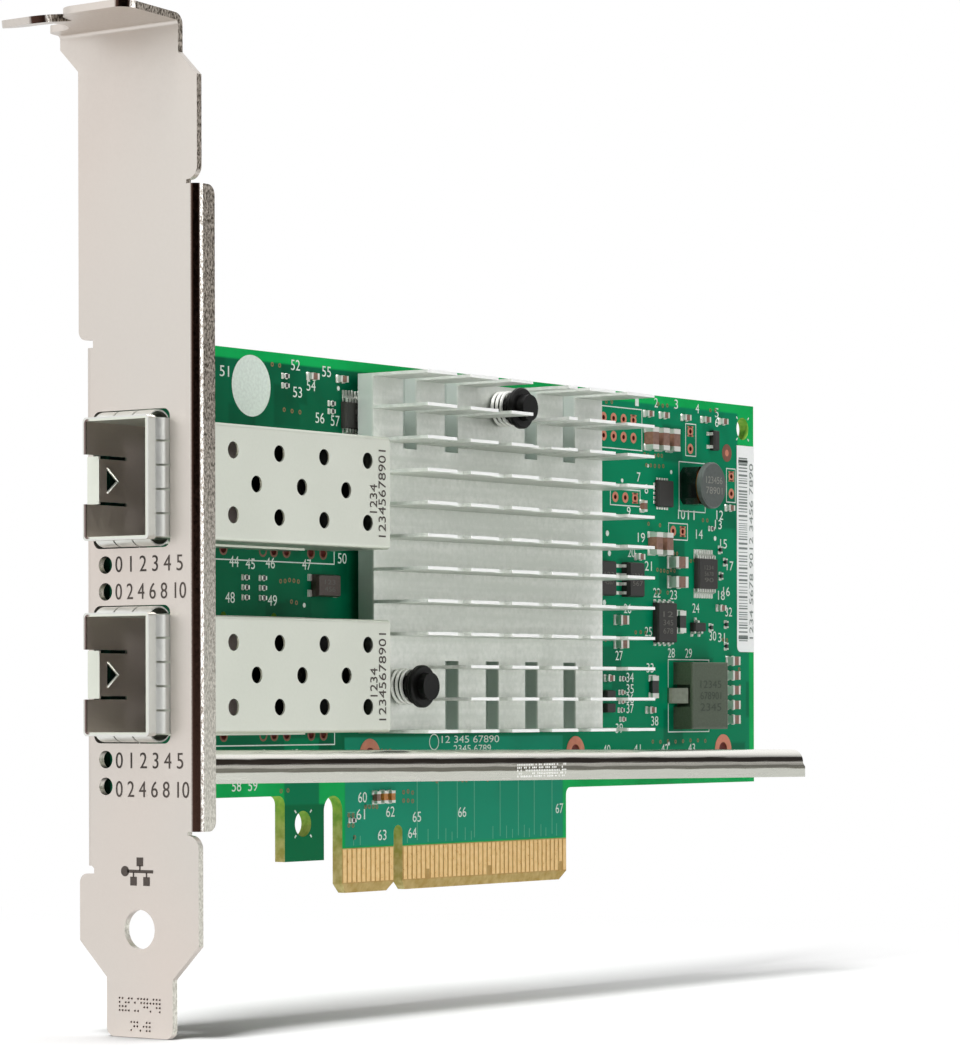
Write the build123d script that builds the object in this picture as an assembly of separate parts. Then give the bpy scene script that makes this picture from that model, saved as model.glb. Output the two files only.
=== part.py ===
"""Dual port fibre network interface card on a full height slot bracket.

Frame: the origin is on the card's edge connector, at the centre of the key
notch, on the bottom edge and in the middle of the board's thickness.
+X runs from the bracket to the far end, the parts stand on the -Y side and +Z is up.
Lengths are in millimetres.
"""
import math
import os

from build123d import *

# Board
board_thick = 1.57
board_left = -57.24
board_right = 88.55
board_top = 68.6
board_bottom = 12.75
board_corner_radius = 1.0

# Edge connector tongue
contact_pitch = 1.0
contact_width = 0.7
contact_foil = 0.05
contact_low = 1.35
contact_high = 5.65
contact_short_lift = 1.2
contact_count_before_key = 11
contact_count_after_key = 38
key_width = 1.9
key_gap = 3.0
key_top = 8.5
key_mouth = 1.1
tongue_margin = 0.48
tongue_corner = 1.2
bevel_height = 1.2
bevel_depth = 0.42
short_contact_numbers = (17, 31, 48)

# Retention tab and the slot between it and the tongue
tab_left = -23.85
tab_right = -15.8
tab_low = 4.4
tab_hole_x = -20.12
tab_hole_z = 9.15
tab_hole_d = 3.3
tab_slot_top = 12.6
tab_root_radius = 1.2

# Holes in the board
corner_hole_inset_x = 3.05
corner_hole_inset_z = 3.5
corner_hole_d = 3.3
ring_hole_d = 2.2
ring_pad_d = 4.5
copper_foil = 0.05
ring_hole_xs = (-6.1, 41.3, 79.9)
ring_hole_lift = 4.85
header_hole_d = 1.0
header_pitch = 2.54

# Bracket sheet
sheet = 0.86
bracket_face_x = -59.0
bracket_length = 120.4
bracket_width = 18.42
bracket_left_y = 2.57
bracket_tip_z = -15.04
bracket_tongue_width = 10.2
bracket_tongue_left_y = -1.65
bracket_shoulder_z = -8.05
bracket_tip_radius = 1.1
inset_low_z = 5.1
inset_high_z = 66.85
notch_height = 0.95
notch_depth = 2.25
notch_slant = 0.3
notch_corner_radius = 1.1
flange_low_z = 9.4
flange_high_z = 85.25
flange_depth = 3.24
fold_radius = 1.1
flange_corner_radius = 1.2
ear_corner_radius = 1.4
relief_width = 1.65
relief_height = 0.45
relief_corner_radius = 1.6
neck_shift = 2.85
neck_right_from_top = 7.41
neck_left_from_top = 5.41
bracket_hole_d = 4.7
bracket_hole_y = -6.77
bracket_hole_z = -2.28
led_hole_d = 2.1
led_hole_y = -1.57
led_pitch = 3.19
led_below_middle = 0.125

# Slot cover tab at the top, with its screw slot
top_tab_depth = 9.4
top_tab_rise = 2.5
top_bend_radius = 0.5
screw_slot_width = 4.42
screw_slot_from_face = 4.6
screw_slot_end_y = 2.85
lobe_radius = 1.0
tab_corner_radius = 1.8
tab_inner_radius = 2.9
finger_reach = 11.43
finger_hinge = 6.0
finger_side_y = -1.8
finger_radius = 1.9
finger_droop = 9.4

# Flange folded back from the other edge, on the board's solder side, with its two ears
board_flange_depth = 3.6
board_fold_radius = 0.95
ear_length = 9.0
ear_height = 7.0
ear_hole_from_bracket = 5.2
ear_from_top = 5.2
ear_from_bottom = 3.9
screw_d = 2.5
screw_clearance = 0.2
screw_tip = 0.4
screw_head_d = 4.6
screw_head_height = 1.7
screw_drive_d = 2.2
screw_drive_depth = 0.9

# Transceiver cages
cage_width = 14.2
cage_height = 9.77
cage_wall = 0.25
cage_reach = 2.9
cage_rear_x = -14.6
cage_from_bottom = 8.02
cage_pitch = 23.12
cage_edge_radius = 0.5
vent_d = 2.05
vent_pitch_x = 8.9
vent_pitch_z = 3.9
vent_from_rear = 4.62
skirt_end_x = -23.7
skirt_height = 3.2
latch_width = 5.1
latch_slit = 0.4
latch_start = 2.4
latch_length = 5.0
latch_lip_drop = 1.6
latch_lip_width = 5.7
latch_triangle = 2.9
latch_triangle_start = 1.4
connector_window_start = 18.0
connector_window_end = 3.0
connector_window_side = 0.8

# Spring collar round each cage mouth
collar_thick = 0.2
collar_band = 1.4
finger_bulge = 0.95
finger_tail = 4.6
finger_gap = 0.25
finger_foot = 0.25
top_fingers = 5
side_fingers = 3
side_finger_pitch = 2.9
collar_clearance = 0.12

# Host connector inside each cage
host_side_gap = 0.75
host_height = 6.2
host_depth = 9.0
host_from_rear = 4.0
host_slot_height = 1.3
host_slot_width = 9.6
host_slot_depth = 6.0
host_slot_lift = 2.6
host_row_count = 10
host_row_pitch = 0.8
host_row_width = 0.35
host_row_foil = 0.06

# Support rail
rail_sheet = 0.8
rail_height = 3.95
rail_shelf = 5.0
rail_top_lift = 6.17
rail_bend_radius = 1.8
rail_jog = 0.35
rail_jog_drop = 0.55
rail_lip = 1.5
rail_droop = 0.52
rail_far_x = 79.6
rail_end_slant = 2.1
rail_gap = 0.3
rail_tab_height = 9.0

# Heat sink
sink_left = -10.3
sink_right = 42.3
sink_from_bottom = 7.85
sink_from_top = 1.75
sink_gap = 1.415
sink_base = 2.5
sink_fin_height = 8.7
sink_fin_count = 12
sink_fin_thick = 0.4
channel_by_lower_pin = 0
channel_by_upper_pin = 2
sink_channel_width = 3.0
sink_channel_pitch = 9.15
sink_channel_start = 6.35
sink_channel_count = 5
sink_channel_base_depth = 1.9
sink_tip_cut = 1.3
sink_deep_rows_z = 9.4
sink_side_pocket = 4.4

# Controller chip and pad under the heat sink
chip_size = 25.0
chip_height = 1.15
pad_margin = 1.5

# Push pins
pin_high_from_left = 27.6
pin_high_from_top = 3.1
pin_low_from_left = 5.2
pin_low_from_bottom = 6.0
pin_shaft_d = 2.9
pin_hole_clearance = 0.2
pin_flange_d = 5.5
pin_flange_thick = 0.9
pin_knob_d = 3.5
pin_knob_height = 1.1
pin_snap_d = 3.9
pin_snap_height = 1.9
pin_collar_d = 4.5
pin_collar_thick = 0.7
pin_spring_height = 2.6
spring_wire = 0.45
spring_d = 4.8
spring_turns = 3
spring_end_gap = 0.03
pocket_side = 4.2
pocket_gap = 0.4
pocket_low_rise = 2.0
pocket_high_drop = 2.6

# Press fit pins of the cages and the open holes beside them
cage_hole_d = 1.1
cage_hole_offset = 0.3
cage_pin_width = 0.5
cage_pin_length = 2.9
cage_pins_from_rear = (11.35, 21.35, 37.5)
cage_spare_from_rear = (1.25, 3.8, 8.8)

# Chip capacitors and resistors: length, width and height of each case size
case_sizes = {
    "tiny": (1.0, 0.5, 0.4), "small": (1.6, 0.8, 0.75), "medium": (2.0, 1.25, 1.2),
    "tall": (3.2, 1.6, 1.5), "flat": (3.2, 1.6, 0.6)}
terminal_share = 0.22
terminal_raise = 0.03
lead_foil = 0.15

# Parts measured from the right and top edges of the board: distance in, distance down, case, upright
right_capacitors = (
    (28.95, 2.75, "small", False), (24.85, 2.75, "small", False), (19.05, 2.75, "small", False),
    (13.75, 2.75, "small", False), (8.95, 2.75, "small", False), (30.35, 16.05, "small", True),
    (31.35, 23.3, "small", False), (36.45, 32.4, "medium", False), (36.45, 35.75, "medium", False),
    (6.7, 37.95, "medium", False), (6.7, 40.1, "medium", False), (6.7, 42.27, "medium", False),
    (6.7, 44.44, "medium", False), (6.7, 46.6, "medium", False), (9.65, 30.2, "small", False),
    (28.55, 45.15, "small", False), (39.25, 40.65, "small", False), (35.75, 42.64, "tiny", False),
    (35.75, 43.9, "tiny", False), (35.55, 46.45, "tiny", False), (7.15, 15.4, "small", False))
tall_capacitors = (
    (28.8, 6.3, True), (26.0, 6.3, True), (23.2, 6.3, True), (27.85, 21.3, True), (25.1, 21.3, True),
    (21.95, 23.85, False), (21.95, 26.7, False))
right_resistors = (
    (35.55, 40.7, "tiny", False), (35.95, 45.15, "tiny", False), (12.15, 33.1, "tiny", True),
    (7.95, 32.6, "tiny", True), (7.95, 35.8, "tiny", True), (11.95, 18.6, "tiny", False),
    (9.55, 21.65, "tiny", True), (8.15, 23.4, "tiny", True), (9.35, 25.5, "tiny", True),
    (27.65, 41.85, "flat", True), (20.35, 32.4, "flat", True))

# Parts measured from the bracket end and the top edge of the board
left_capacitors = ((38.95, 2.55, "small", False), (45.05, 2.5, "small", False))
left_resistors = (
    (33.55, 2.85, "tiny", False), (33.55, 4.05, "tiny", False), (43.05, 5.75, "tiny", False),
    (43.05, 6.75, "tiny", False), (25.45, 28.46, "tiny", False), (28.9, 28.46, "tiny", False),
    (25.45, 29.7, "tiny", False), (28.9, 29.7, "tiny", False), (25.45, 30.95, "tiny", False),
    (28.9, 30.95, "tiny", False))
crystal_spot = (41.15, 29.15)
crystal_size = (4.7, 2.8, 1.3)

# Fuses above the tongue, measured from the key's centre and the board's lower edge
fuse_spots = ((-3.55, -0.5), (-1.95, -0.5))
fuse_neighbour = (-5.1, -0.55)
tongue_resistor = (-10.0, -3.4)

# Packages with bent leads: distance from the right edge, distance down, size along X, size along Z,
# height, whether the leads leave up and down, leads a side, pitch, lead width and reach
gull_packages = {
    "driver_chip": (14.05, 25.3, 5.0, 4.4, 1.05, True, 8, 0.65, 0.3, 1.3),
    "memory_chip": (33.65, 26.65, 3.9, 4.9, 1.5, False, 4, 1.27, 0.42, 1.6),
    "power_chip": (25.1, 32.6, 4.9, 5.7, 1.1, True, 4, 1.27, 0.42, 0.45),
    "monitor_chip": (98.2, 7.1, 5.0, 3.4, 1.05, True, 7, 0.65, 0.25, 1.5)}
regulator_spot = (24.95, 14.05)
regulator_side = 3.8
regulator_height = 0.8
regulator_pads = 5
regulator_pad_pitch = 0.65
regulator_pad = 0.32
switch_chip = (40.75, 26.6, 3.9, 4.9, 1.4)
diode_spots = ((39.45, 43.0), (39.45, 44.85))
diode_size = (2.2, 1.3, 0.9)

# Three lead transistors: distance in, distance down, side that carries the two leads
transistors = ((11.55, 5.7, "left"), (16.2, 33.1, "down"))
transistor_length = 2.9
transistor_width = 1.3
transistor_height = 1.0
transistor_lead_gap = 1.9
transistor_lead_width = 0.45
transistor_lead_reach = 0.7

# Header holes: distance in of the first hole, distance down, columns, rows
headers = ((40.03, 3.88, 4, 2), (17.4, 4.65, 1, 2), (37.1, 14.98, 3, 1), (6.22, 10.7, 1, 2), (22.05, 19.3, 2, 1))

# Drum inductor
drum_spot = (17.75, 12.67)
drum_base_length = 5.4
drum_base_width = 5.0
drum_base_height = 2.9
drum_neck_d = 4.4
drum_wire_d = 5.5
drum_disc_d = 6.7
drum_disc_height = 1.0
drum_total_height = 4.3

# Power inductor
power_spot = (17.2, 43.1)
power_length = 9.7
power_width = 9.7
power_height = 3.3
power_notch_width = 3.2
power_notch_depth = 1.0
power_strap_width = 2.2
power_strap_thick = 0.3
power_strap_height = 2.4
power_foot = 1.6

# Status lamps behind the bracket
lamp_length = 1.0
lamp_width = 0.6
lamp_height = 0.7
lamp_from_bracket = 1.9

half_board = board_thick / 2
bracket_back_x = bracket_face_x + sheet
bracket_right_y = bracket_left_y - bracket_width
bracket_top_z = bracket_tip_z + bracket_length
cage_low_top_z = board_bottom + cage_from_bottom + cage_width
cage_tops = {"upper": cage_low_top_z + cage_pitch, "lower": cage_low_top_z}
led_middle_drop = (cage_pitch - cage_width) / 2 + led_below_middle
led_drops = (led_middle_drop - led_pitch / 2, led_middle_drop + led_pitch / 2)
ear_zs = (board_top - ear_from_top, board_bottom + ear_from_bottom)
rail_top_z = board_bottom + rail_top_lift
ring_hole_z = board_bottom + ring_hole_lift
sink_low = board_bottom + sink_from_bottom
sink_high = board_top - sink_from_top
rim_x = bracket_face_x - cage_reach
host_width = cage_width - 2 * cage_wall - 2 * host_side_gap
sink_back_y = -half_board - sink_gap
sink_face_y = sink_back_y - sink_base
sink_tip_y = sink_face_y - sink_fin_height
chip_x = (sink_left + sink_right) / 2 - 2
chip_z = (sink_low + sink_high) / 2 - 2
pin_high_x = sink_left + pin_high_from_left
pin_high_z = sink_high - pin_high_from_top
pin_low_x = sink_left + pin_low_from_left
pin_low_z = sink_low + pin_low_from_bottom
pins = {"upper": (pin_high_x, pin_high_z), "lower": (pin_low_x, pin_low_z)}


def on_board(sketch, height, lift=0.0):
    """A body of the given height that stands on the board's component side."""
    return extrude(Plane.XZ.offset(half_board + lift) * sketch, amount=height)


def behind_board(sketch, height, lift=0.0):
    """The same on the solder side."""
    return extrude(Plane.XZ.offset(-half_board - lift) * sketch, amount=-height)


def block(x0, x1, y0, y1, z0, z1):
    """A box between two corners."""
    middle = ((x0 + x1) / 2, (y0 + y1) / 2, (z0 + z1) / 2)
    return Pos(*middle) * Box(abs(x1 - x0), abs(y1 - y0), abs(z1 - z0))


def round_corners(sketch, corners, radius):
    """Round those corners of a sketch that lie nearest to the given points."""
    picked = [min(sketch.vertices(), key=lambda v: math.dist((v.X, v.Y), c)) for c in corners]
    return fillet(picked, radius)


def save(shape, name):
    export_step(shape, f"parts/{name}.step")


os.makedirs("parts", exist_ok=True)


# Board

def contact_x(number):
    """Centre of a contact, counted from the bracket end."""
    if number <= contact_count_before_key:
        return -key_gap / 2 - (contact_count_before_key - number) * contact_pitch
    return key_gap / 2 + (number - contact_count_before_key - 1) * contact_pitch


contact_total = contact_count_before_key + contact_count_after_key
tongue_left = contact_x(1) - tongue_margin
tongue_right = contact_x(contact_total) + tongue_margin


def board_outline():
    outline = Polygon(
        (board_left, board_bottom), (tab_left, board_bottom), (tab_left, tab_low),
        (tab_right, tab_low), (tab_right, board_bottom), (tongue_left, board_bottom),
        (tongue_left, 0), (tongue_right, 0), (tongue_right, board_bottom),
        (board_right, board_bottom), (board_right, board_top), (board_left, board_top),
        align=None)
    outline = round_corners(outline, [(tab_left, board_bottom)], tab_root_radius)
    outline = round_corners(outline, [(tongue_right, board_bottom)], board_corner_radius)
    slot_width = tongue_left - tab_right
    slot_top = Pos((tab_right + tongue_left) / 2, tab_slot_top - slot_width / 2) * Circle(slot_width / 2)
    slot_fill = Polygon(
        (tab_right, board_bottom + slot_width), (tab_right, tab_slot_top - slot_width / 2),
        (tongue_left, tab_slot_top - slot_width / 2), (tongue_left, board_bottom + slot_width),
        align=None)
    outline = outline + slot_fill - slot_top
    key = Pos(0, (key_top - key_width / 2) / 2) * Rectangle(key_width, key_top - key_width / 2)
    key = key + Pos(0, key_top - key_width / 2) * Circle(key_width / 2)
    mouth = Polygon(
        (-key_width / 2 - key_mouth, 0), (key_width / 2 + key_mouth, 0),
        (key_width / 2, key_mouth), (-key_width / 2, key_mouth), align=None)
    outline = outline - key - mouth
    ends = [(tongue_left, 0), (tongue_right, 0)]
    picked = [min(outline.vertices(), key=lambda v: math.dist((v.X, v.Y), c)) for c in ends]
    return chamfer(picked, tongue_corner)


def from_right(inward, down):
    return board_right - inward, board_top - down


def from_left(inward, down):
    return board_left + inward, board_top - down


def header_spots():
    """Centres of the open header holes, which run right and down from the first one."""
    spots = []
    for inward, down, columns, rows in headers:
        x, z = from_right(inward, down)
        spots += [
            (x + i * header_pitch, z - j * header_pitch) for i in range(round(columns)) for j in range(round(rows))]
    return spots


def cage_hole_spots():
    """Holes for the cages' pins, and open ones beside them for a cage of another length."""
    spots = []
    for top_z in cage_tops.values():
        low_z = top_z - cage_width
        spots += [(cage_rear_x - back, top_z + cage_hole_offset) for back in cage_pins_from_rear]
        spots += [
            (cage_rear_x - back, low_z - cage_hole_offset)
            for back in cage_pins_from_rear + cage_spare_from_rear]
    return spots


def board_holes():
    holes = [(tab_hole_x, tab_hole_z, tab_hole_d)]
    holes.append((board_right - corner_hole_inset_x, board_top - corner_hole_inset_z, corner_hole_d))
    holes += [(x, ring_hole_z, ring_hole_d) for x in ring_hole_xs]
    holes += [(x, z, pin_shaft_d + pin_hole_clearance) for x, z in pins.values()]
    holes += [(x, z, header_hole_d) for x, z in header_spots()]
    holes += [(x, z, cage_hole_d) for x, z in cage_hole_spots()]
    ear_x = bracket_back_x + ear_hole_from_bracket
    holes += [(ear_x, z, screw_d + screw_clearance) for z in ear_zs]
    return holes


def circuit_board():
    sketch = board_outline()
    for x, z, d in board_holes():
        sketch -= Pos(x, z) * Circle(d / 2)
    board = extrude(Plane.XZ * sketch, amount=half_board, both=True)
    for side in (-1, 1):
        wedge = Polygon(
            (side * half_board, 0), (side * (half_board - bevel_depth), 0),
            (side * half_board, bevel_height), align=None)
        length = tongue_right - tongue_left
        board -= extrude(Plane.YZ.offset(tongue_left) * wedge, amount=length)
    return board


def contact_plates(front):
    """The gold contacts of one side of the tongue, each one a separate plate."""
    plates = []
    for number in range(1, contact_total + 1):
        short = front and number in short_contact_numbers
        low = contact_low + (contact_short_lift if short else 0)
        plate = Pos(contact_x(number), (low + contact_high) / 2) * Rectangle(
            contact_width, contact_high - low)
        raised = on_board if front else behind_board
        plates.append(raised(plate, contact_foil))
    return Compound(plates)


def copper_rings():
    """Bare copper rings round the plated holes, on both sides of the board."""
    pads = []
    for x in ring_hole_xs:
        ring = Pos(x, ring_hole_z) * (Circle(ring_pad_d / 2) - Circle(ring_hole_d / 2))
        pads.append(on_board(ring, copper_foil))
        pads.append(behind_board(ring, copper_foil))
    return Compound(pads)


save(circuit_board(), "circuit_board")
save(contact_plates(True), "edge_contacts_front")
save(contact_plates(False), "edge_contacts_back")
save(copper_rings(), "copper_rings")


# Bracket

def bracket_outline():
    """The flat face of the bracket, seen along +X with local x along +Y."""
    left = bracket_left_y
    right = bracket_right_y
    inset = half_board + sheet - board_fold_radius
    tongue_l = bracket_tongue_left_y
    tongue_r = tongue_l - bracket_tongue_width
    drop_l = left - tongue_l
    drop_r = tongue_r - right
    low_l = bracket_shoulder_z + drop_l
    low_r = bracket_shoulder_z + drop_r
    neck_left = left + neck_shift
    neck_right = right + neck_shift
    bend_z = bracket_top_z - sheet - top_bend_radius
    neck_left_z = bracket_top_z - neck_left_from_top
    neck_right_z = bracket_top_z - neck_right_from_top
    outline = Polygon(
        (tongue_l, bracket_tip_z), (tongue_l, bracket_shoulder_z), (left, low_l),
        (left, inset_low_z - notch_height), (left - notch_depth, inset_low_z - notch_height),
        (left - notch_depth, inset_low_z - notch_slant), (inset, inset_low_z),
        (inset, inset_high_z), (left - notch_depth, inset_high_z),
        (left - notch_depth, inset_high_z + notch_height), (left, inset_high_z + notch_height),
        (left, neck_left_z), (neck_left, neck_left_z + neck_shift), (neck_left, bend_z),
        (neck_right, bend_z), (neck_right, neck_right_z + neck_shift), (right, neck_right_z),
        (right, flange_high_z), (right + relief_width, flange_high_z),
        (right + relief_width, flange_low_z), (right, flange_low_z), (right, low_r),
        (tongue_r, bracket_shoulder_z), (tongue_r, bracket_tip_z), align=None)
    tips = [(tongue_l, bracket_tip_z), (tongue_r, bracket_tip_z)]
    outline = round_corners(outline, tips, bracket_tip_radius)
    notch_corners = [(left, inset_low_z - notch_height), (left, inset_high_z + notch_height)]
    return round_corners(outline, notch_corners, notch_corner_radius)


def flange_reliefs():
    """The two cuts that free the ends of the side flange, with their rounded outer corners."""
    right = bracket_right_y
    cuts = []
    for edge_z, away in ((flange_high_z, 1), (flange_low_z, -1)):
        corner_z = edge_z + away * (relief_height + relief_corner_radius)
        cut = Polygon(
            (right + relief_width, edge_z), (right + relief_width, edge_z + away * relief_height),
            (right + relief_corner_radius, edge_z + away * relief_height), (right, corner_z),
            (right, edge_z), align=None)
        rounding = Pos(right + relief_corner_radius, corner_z) * Circle(relief_corner_radius)
        cuts.append(cut - rounding)
    return cuts


def folded_edge(edge_y, root_y, side, outer, depth, low_z, high_z, corner_radius):
    """A strip along one edge of the face that is folded back; side is the edge's direction in Y."""
    inner = outer - sheet
    centre_x = bracket_face_x + outer
    centre_y = edge_y - side * outer
    inside_y = edge_y - side * sheet
    end_x = bracket_face_x + depth
    bend = 0.5 * math.sqrt(2)
    with BuildSketch() as profile:
        with BuildLine():
            Polyline((bracket_face_x, root_y), (bracket_face_x, centre_y))
            ThreePointArc(
                (bracket_face_x, centre_y), (centre_x - outer * bend, centre_y + side * outer * bend),
                (centre_x, edge_y))
            Polyline((centre_x, edge_y), (end_x, edge_y), (end_x, inside_y), (centre_x, inside_y))
            ThreePointArc(
                (centre_x, inside_y), (centre_x - inner * bend, centre_y + side * inner * bend),
                (bracket_back_x, centre_y))
            Polyline((bracket_back_x, centre_y), (bracket_back_x, root_y), (bracket_face_x, root_y))
        make_face()
    strip = extrude(Plane.XY.offset(low_z) * profile.sketch, amount=high_z - low_z)
    free_corners = [
        e for e in strip.edges().filter_by(Axis.Y)
        if abs(e.center().X - end_x) < 0.01]
    return fillet(free_corners, corner_radius)


def side_flange():
    """The edge that is folded back along the component side."""
    return folded_edge(
        bracket_right_y, bracket_right_y + relief_width, -1, fold_radius, flange_depth,
        flange_low_z, flange_high_z, flange_corner_radius)


def board_flange():
    """The other edge, folded back against the solder side, with a threaded hole in each ear."""
    edge_y = half_board + sheet
    root_y = edge_y - board_fold_radius - 0.1
    strip = folded_edge(
        edge_y, root_y, 1, board_fold_radius, sheet + ear_length, inset_low_z, inset_high_z,
        ear_corner_radius)
    waists = (
        (ear_zs[1] + ear_height / 2, ear_zs[0] - ear_height / 2),
        (inset_low_z - 1, ear_zs[1] - ear_height / 2))
    for low_z, high_z in waists:
        strip -= block(
            bracket_face_x + board_flange_depth, bracket_face_x + 2 * ear_length, 0, 2 * edge_y, low_z, high_z)
    for z in ear_zs:
        hole = Cylinder(screw_d / 2, 4 * sheet, rotation=(90, 0, 0))
        strip -= Pos(bracket_back_x + ear_hole_from_bracket, edge_y, z) * hole
    return strip


def top_tab_outline():
    """Plan of the flat part of the tab with its screw slot, in X and Y."""
    left = bracket_left_y + neck_shift
    right = bracket_right_y + neck_shift
    outer_x = bracket_face_x - top_tab_depth
    hinge_x = bracket_face_x - finger_hinge
    slot_x = bracket_face_x - screw_slot_from_face
    half_slot = screw_slot_width / 2
    plan = Polygon(
        (bracket_back_x + 1, left), (hinge_x, left), (hinge_x, finger_side_y), (outer_x, finger_side_y),
        (outer_x, right), (bracket_back_x + 1, right), align=None)
    plan = round_corners(plan, [(outer_x, right)], tab_corner_radius)
    plan = round_corners(plan, [(outer_x, finger_side_y)], tab_inner_radius)
    slot = Polygon(
        (slot_x - half_slot, left + 1), (slot_x + half_slot, left + 1),
        (slot_x + half_slot, screw_slot_end_y), (slot_x - half_slot, screw_slot_end_y), align=None)
    slot = slot + Pos(slot_x, screw_slot_end_y) * Circle(half_slot)
    return round_corners(plan - slot, [(slot_x + half_slot, left)], lobe_radius)


def tab_finger():
    """The outer side of the screw slot: a lobe that is bent down from the tab."""
    left = bracket_left_y + neck_shift
    end_x = bracket_face_x - finger_reach
    side_x = bracket_face_x - screw_slot_from_face - screw_slot_width / 2
    hinge_x = bracket_face_x - finger_hinge
    plan = Polygon(
        (end_x, finger_side_y), (hinge_x + 0.4, finger_side_y),
        (hinge_x + 0.4, screw_slot_end_y - screw_slot_width / 2),
        (side_x, screw_slot_end_y), (side_x, left), (end_x, left), align=None)
    plan = round_corners(plan, [(end_x, finger_side_y), (end_x, left), (side_x, left)], finger_radius)
    under_z = bracket_top_z - sheet + (finger_hinge - top_bend_radius) * math.tan(math.radians(top_tab_rise))
    lobe = extrude(Plane.XY.offset(under_z) * plan, amount=sheet)
    return Pos(hinge_x, 0, under_z) * Rot(0, -finger_droop, 0) * Pos(-hinge_x, 0, -under_z) * lobe


def top_tab():
    """The tab bent outwards at the top of the face, a few degrees past square."""
    rise = math.radians(top_tab_rise)
    centre_x = bracket_face_x - top_bend_radius
    centre_z = bracket_top_z - sheet - top_bend_radius
    outer = top_bend_radius + sheet
    reach = top_tab_depth + 2

    def polar(radius, angle):
        return (centre_x + radius * math.cos(angle), centre_z + radius * math.sin(angle))

    def along(point, angle):
        return (point[0] - reach * math.cos(angle), point[1] + reach * math.sin(angle))

    stop = math.pi / 2 - rise
    inner_end = polar(top_bend_radius, stop)
    outer_end = polar(outer, stop)
    with BuildSketch() as profile:
        with BuildLine():
            ThreePointArc(polar(top_bend_radius, 0), polar(top_bend_radius, stop / 2), inner_end)
            Polyline(inner_end, along(inner_end, rise), along(outer_end, rise), outer_end)
            ThreePointArc(outer_end, polar(outer, stop / 2), polar(outer, 0))
            Line(polar(outer, 0), polar(top_bend_radius, 0))
        make_face()
    left = bracket_left_y + neck_shift
    strip = extrude(Plane.XZ.offset(-left) * profile.sketch, amount=bracket_width)
    prism = extrude(Plane.XY.offset(centre_z - 1) * top_tab_outline(), amount=5)
    return (strip & prism) + tab_finger()


def cage_window(top_z):
    """The hole in the face round one cage and its springs."""
    margin = finger_bulge + collar_clearance
    low_y = -half_board - cage_height - margin
    high_y = -half_board + margin
    window = Rectangle(high_y - low_y, cage_width + 2 * margin)
    window = fillet(window.vertices(), 1.0)
    return Pos((low_y + high_y) / 2, top_z - cage_width / 2) * window


def bracket():
    face = bracket_outline()
    for cut in flange_reliefs():
        face -= cut
    face -= Pos(bracket_hole_y, bracket_hole_z) * Circle(bracket_hole_d / 2)
    for top_z in cage_tops.values():
        face -= cage_window(top_z)
        for drop in led_drops:
            face -= Pos(led_hole_y, top_z - cage_width - drop) * Circle(led_hole_d / 2)
    shape = extrude(Plane.YZ.offset(bracket_face_x) * face, amount=sheet)
    shape += side_flange()
    shape += board_flange()
    return shape + top_tab()


def bracket_screws():
    """Pan head screws from the component side through the board into the ears."""
    screws = []
    reach = board_thick + sheet + screw_tip
    for z in ear_zs:
        spot = Pos(bracket_back_x + ear_hole_from_bracket, z)
        shank = on_board(spot * Circle(screw_d / 2 - 0.05), reach, -reach)
        head = on_board(spot * Circle(screw_head_d / 2), screw_head_height)
        rim = head.edges().sort_by(Axis.Y)[0]
        head = chamfer(rim, screw_head_height / 3)
        drive = on_board(
            spot * RegularPolygon(screw_drive_d / 2, 6), screw_drive_depth,
            screw_head_height - screw_drive_depth)
        screws.append(shank + head - drive)
    return Compound(screws)


save(bracket(), "bracket")
save(bracket_screws(), "bracket_screws")


# Support rail

def support_rail():
    """A folded strip behind the flange: a shelf, a round bend, a jog and a lip."""
    front_y = bracket_right_y + sheet
    top = rail_top_z
    outer = rail_bend_radius
    inner = outer - rail_sheet
    back_y = front_y + rail_jog
    bend = 0.5 * math.sqrt(2)
    jog_top = top - outer - rail_jog_drop / 4
    jog_low = jog_top - rail_jog_drop
    low = top - rail_height
    centre = (back_y + outer, top - outer)
    with BuildSketch() as profile:
        with BuildLine():
            Polyline((back_y + rail_shelf, top), (centre[0], top))
            ThreePointArc(
                (centre[0], top), (centre[0] - outer * bend, centre[1] + outer * bend),
                (back_y, centre[1]))
            Polyline(
                (back_y, centre[1]), (back_y, jog_top), (front_y, jog_low), (front_y, low),
                (front_y + rail_sheet, low), (front_y + rail_sheet, jog_low),
                (back_y + rail_sheet, jog_top), (back_y + rail_sheet, centre[1]))
            ThreePointArc(
                (back_y + rail_sheet, centre[1]), (centre[0] - inner * bend, centre[1] + inner * bend),
                (centre[0], top - rail_sheet))
            Polyline(
                (centre[0], top - rail_sheet), (back_y + rail_shelf, top - rail_sheet),
                (back_y + rail_shelf, top))
        make_face()
    start_x = bracket_back_x + rail_gap
    rail = extrude(Plane.YZ.offset(start_x) * profile.sketch, amount=rail_far_x - start_x)
    slant = Polygon(
        (rail_far_x - rail_end_slant, low - 1), (rail_far_x, top - outer),
        (rail_far_x + 1, top - outer), (rail_far_x + 1, low - 1), align=None)
    rail -= extrude(Plane.XZ.offset(-back_y - rail_shelf - 1) * slant, amount=2 * rail_shelf)
    return rail


def rail_tab():
    """The upright end of the rail's lip that is welded to the inner face of the flange."""
    front_y = bracket_right_y + sheet
    start_x = bracket_back_x + rail_gap
    end_x = bracket_face_x + flange_depth
    low = rail_top_z - rail_height
    return block(start_x, end_x, front_y, front_y + rail_sheet, low, low - rail_tab_height / 2 + 1)


def tilted_rail():
    """The rail droops a little towards its free end."""
    pivot = (bracket_back_x, 0, rail_top_z)
    return Pos(*pivot) * Rot(0, rail_droop, 0) * Pos(*[-v for v in pivot]) * (support_rail() + rail_tab())


save(tilted_rail(), "support_rail")


# Transceiver cages

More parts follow.
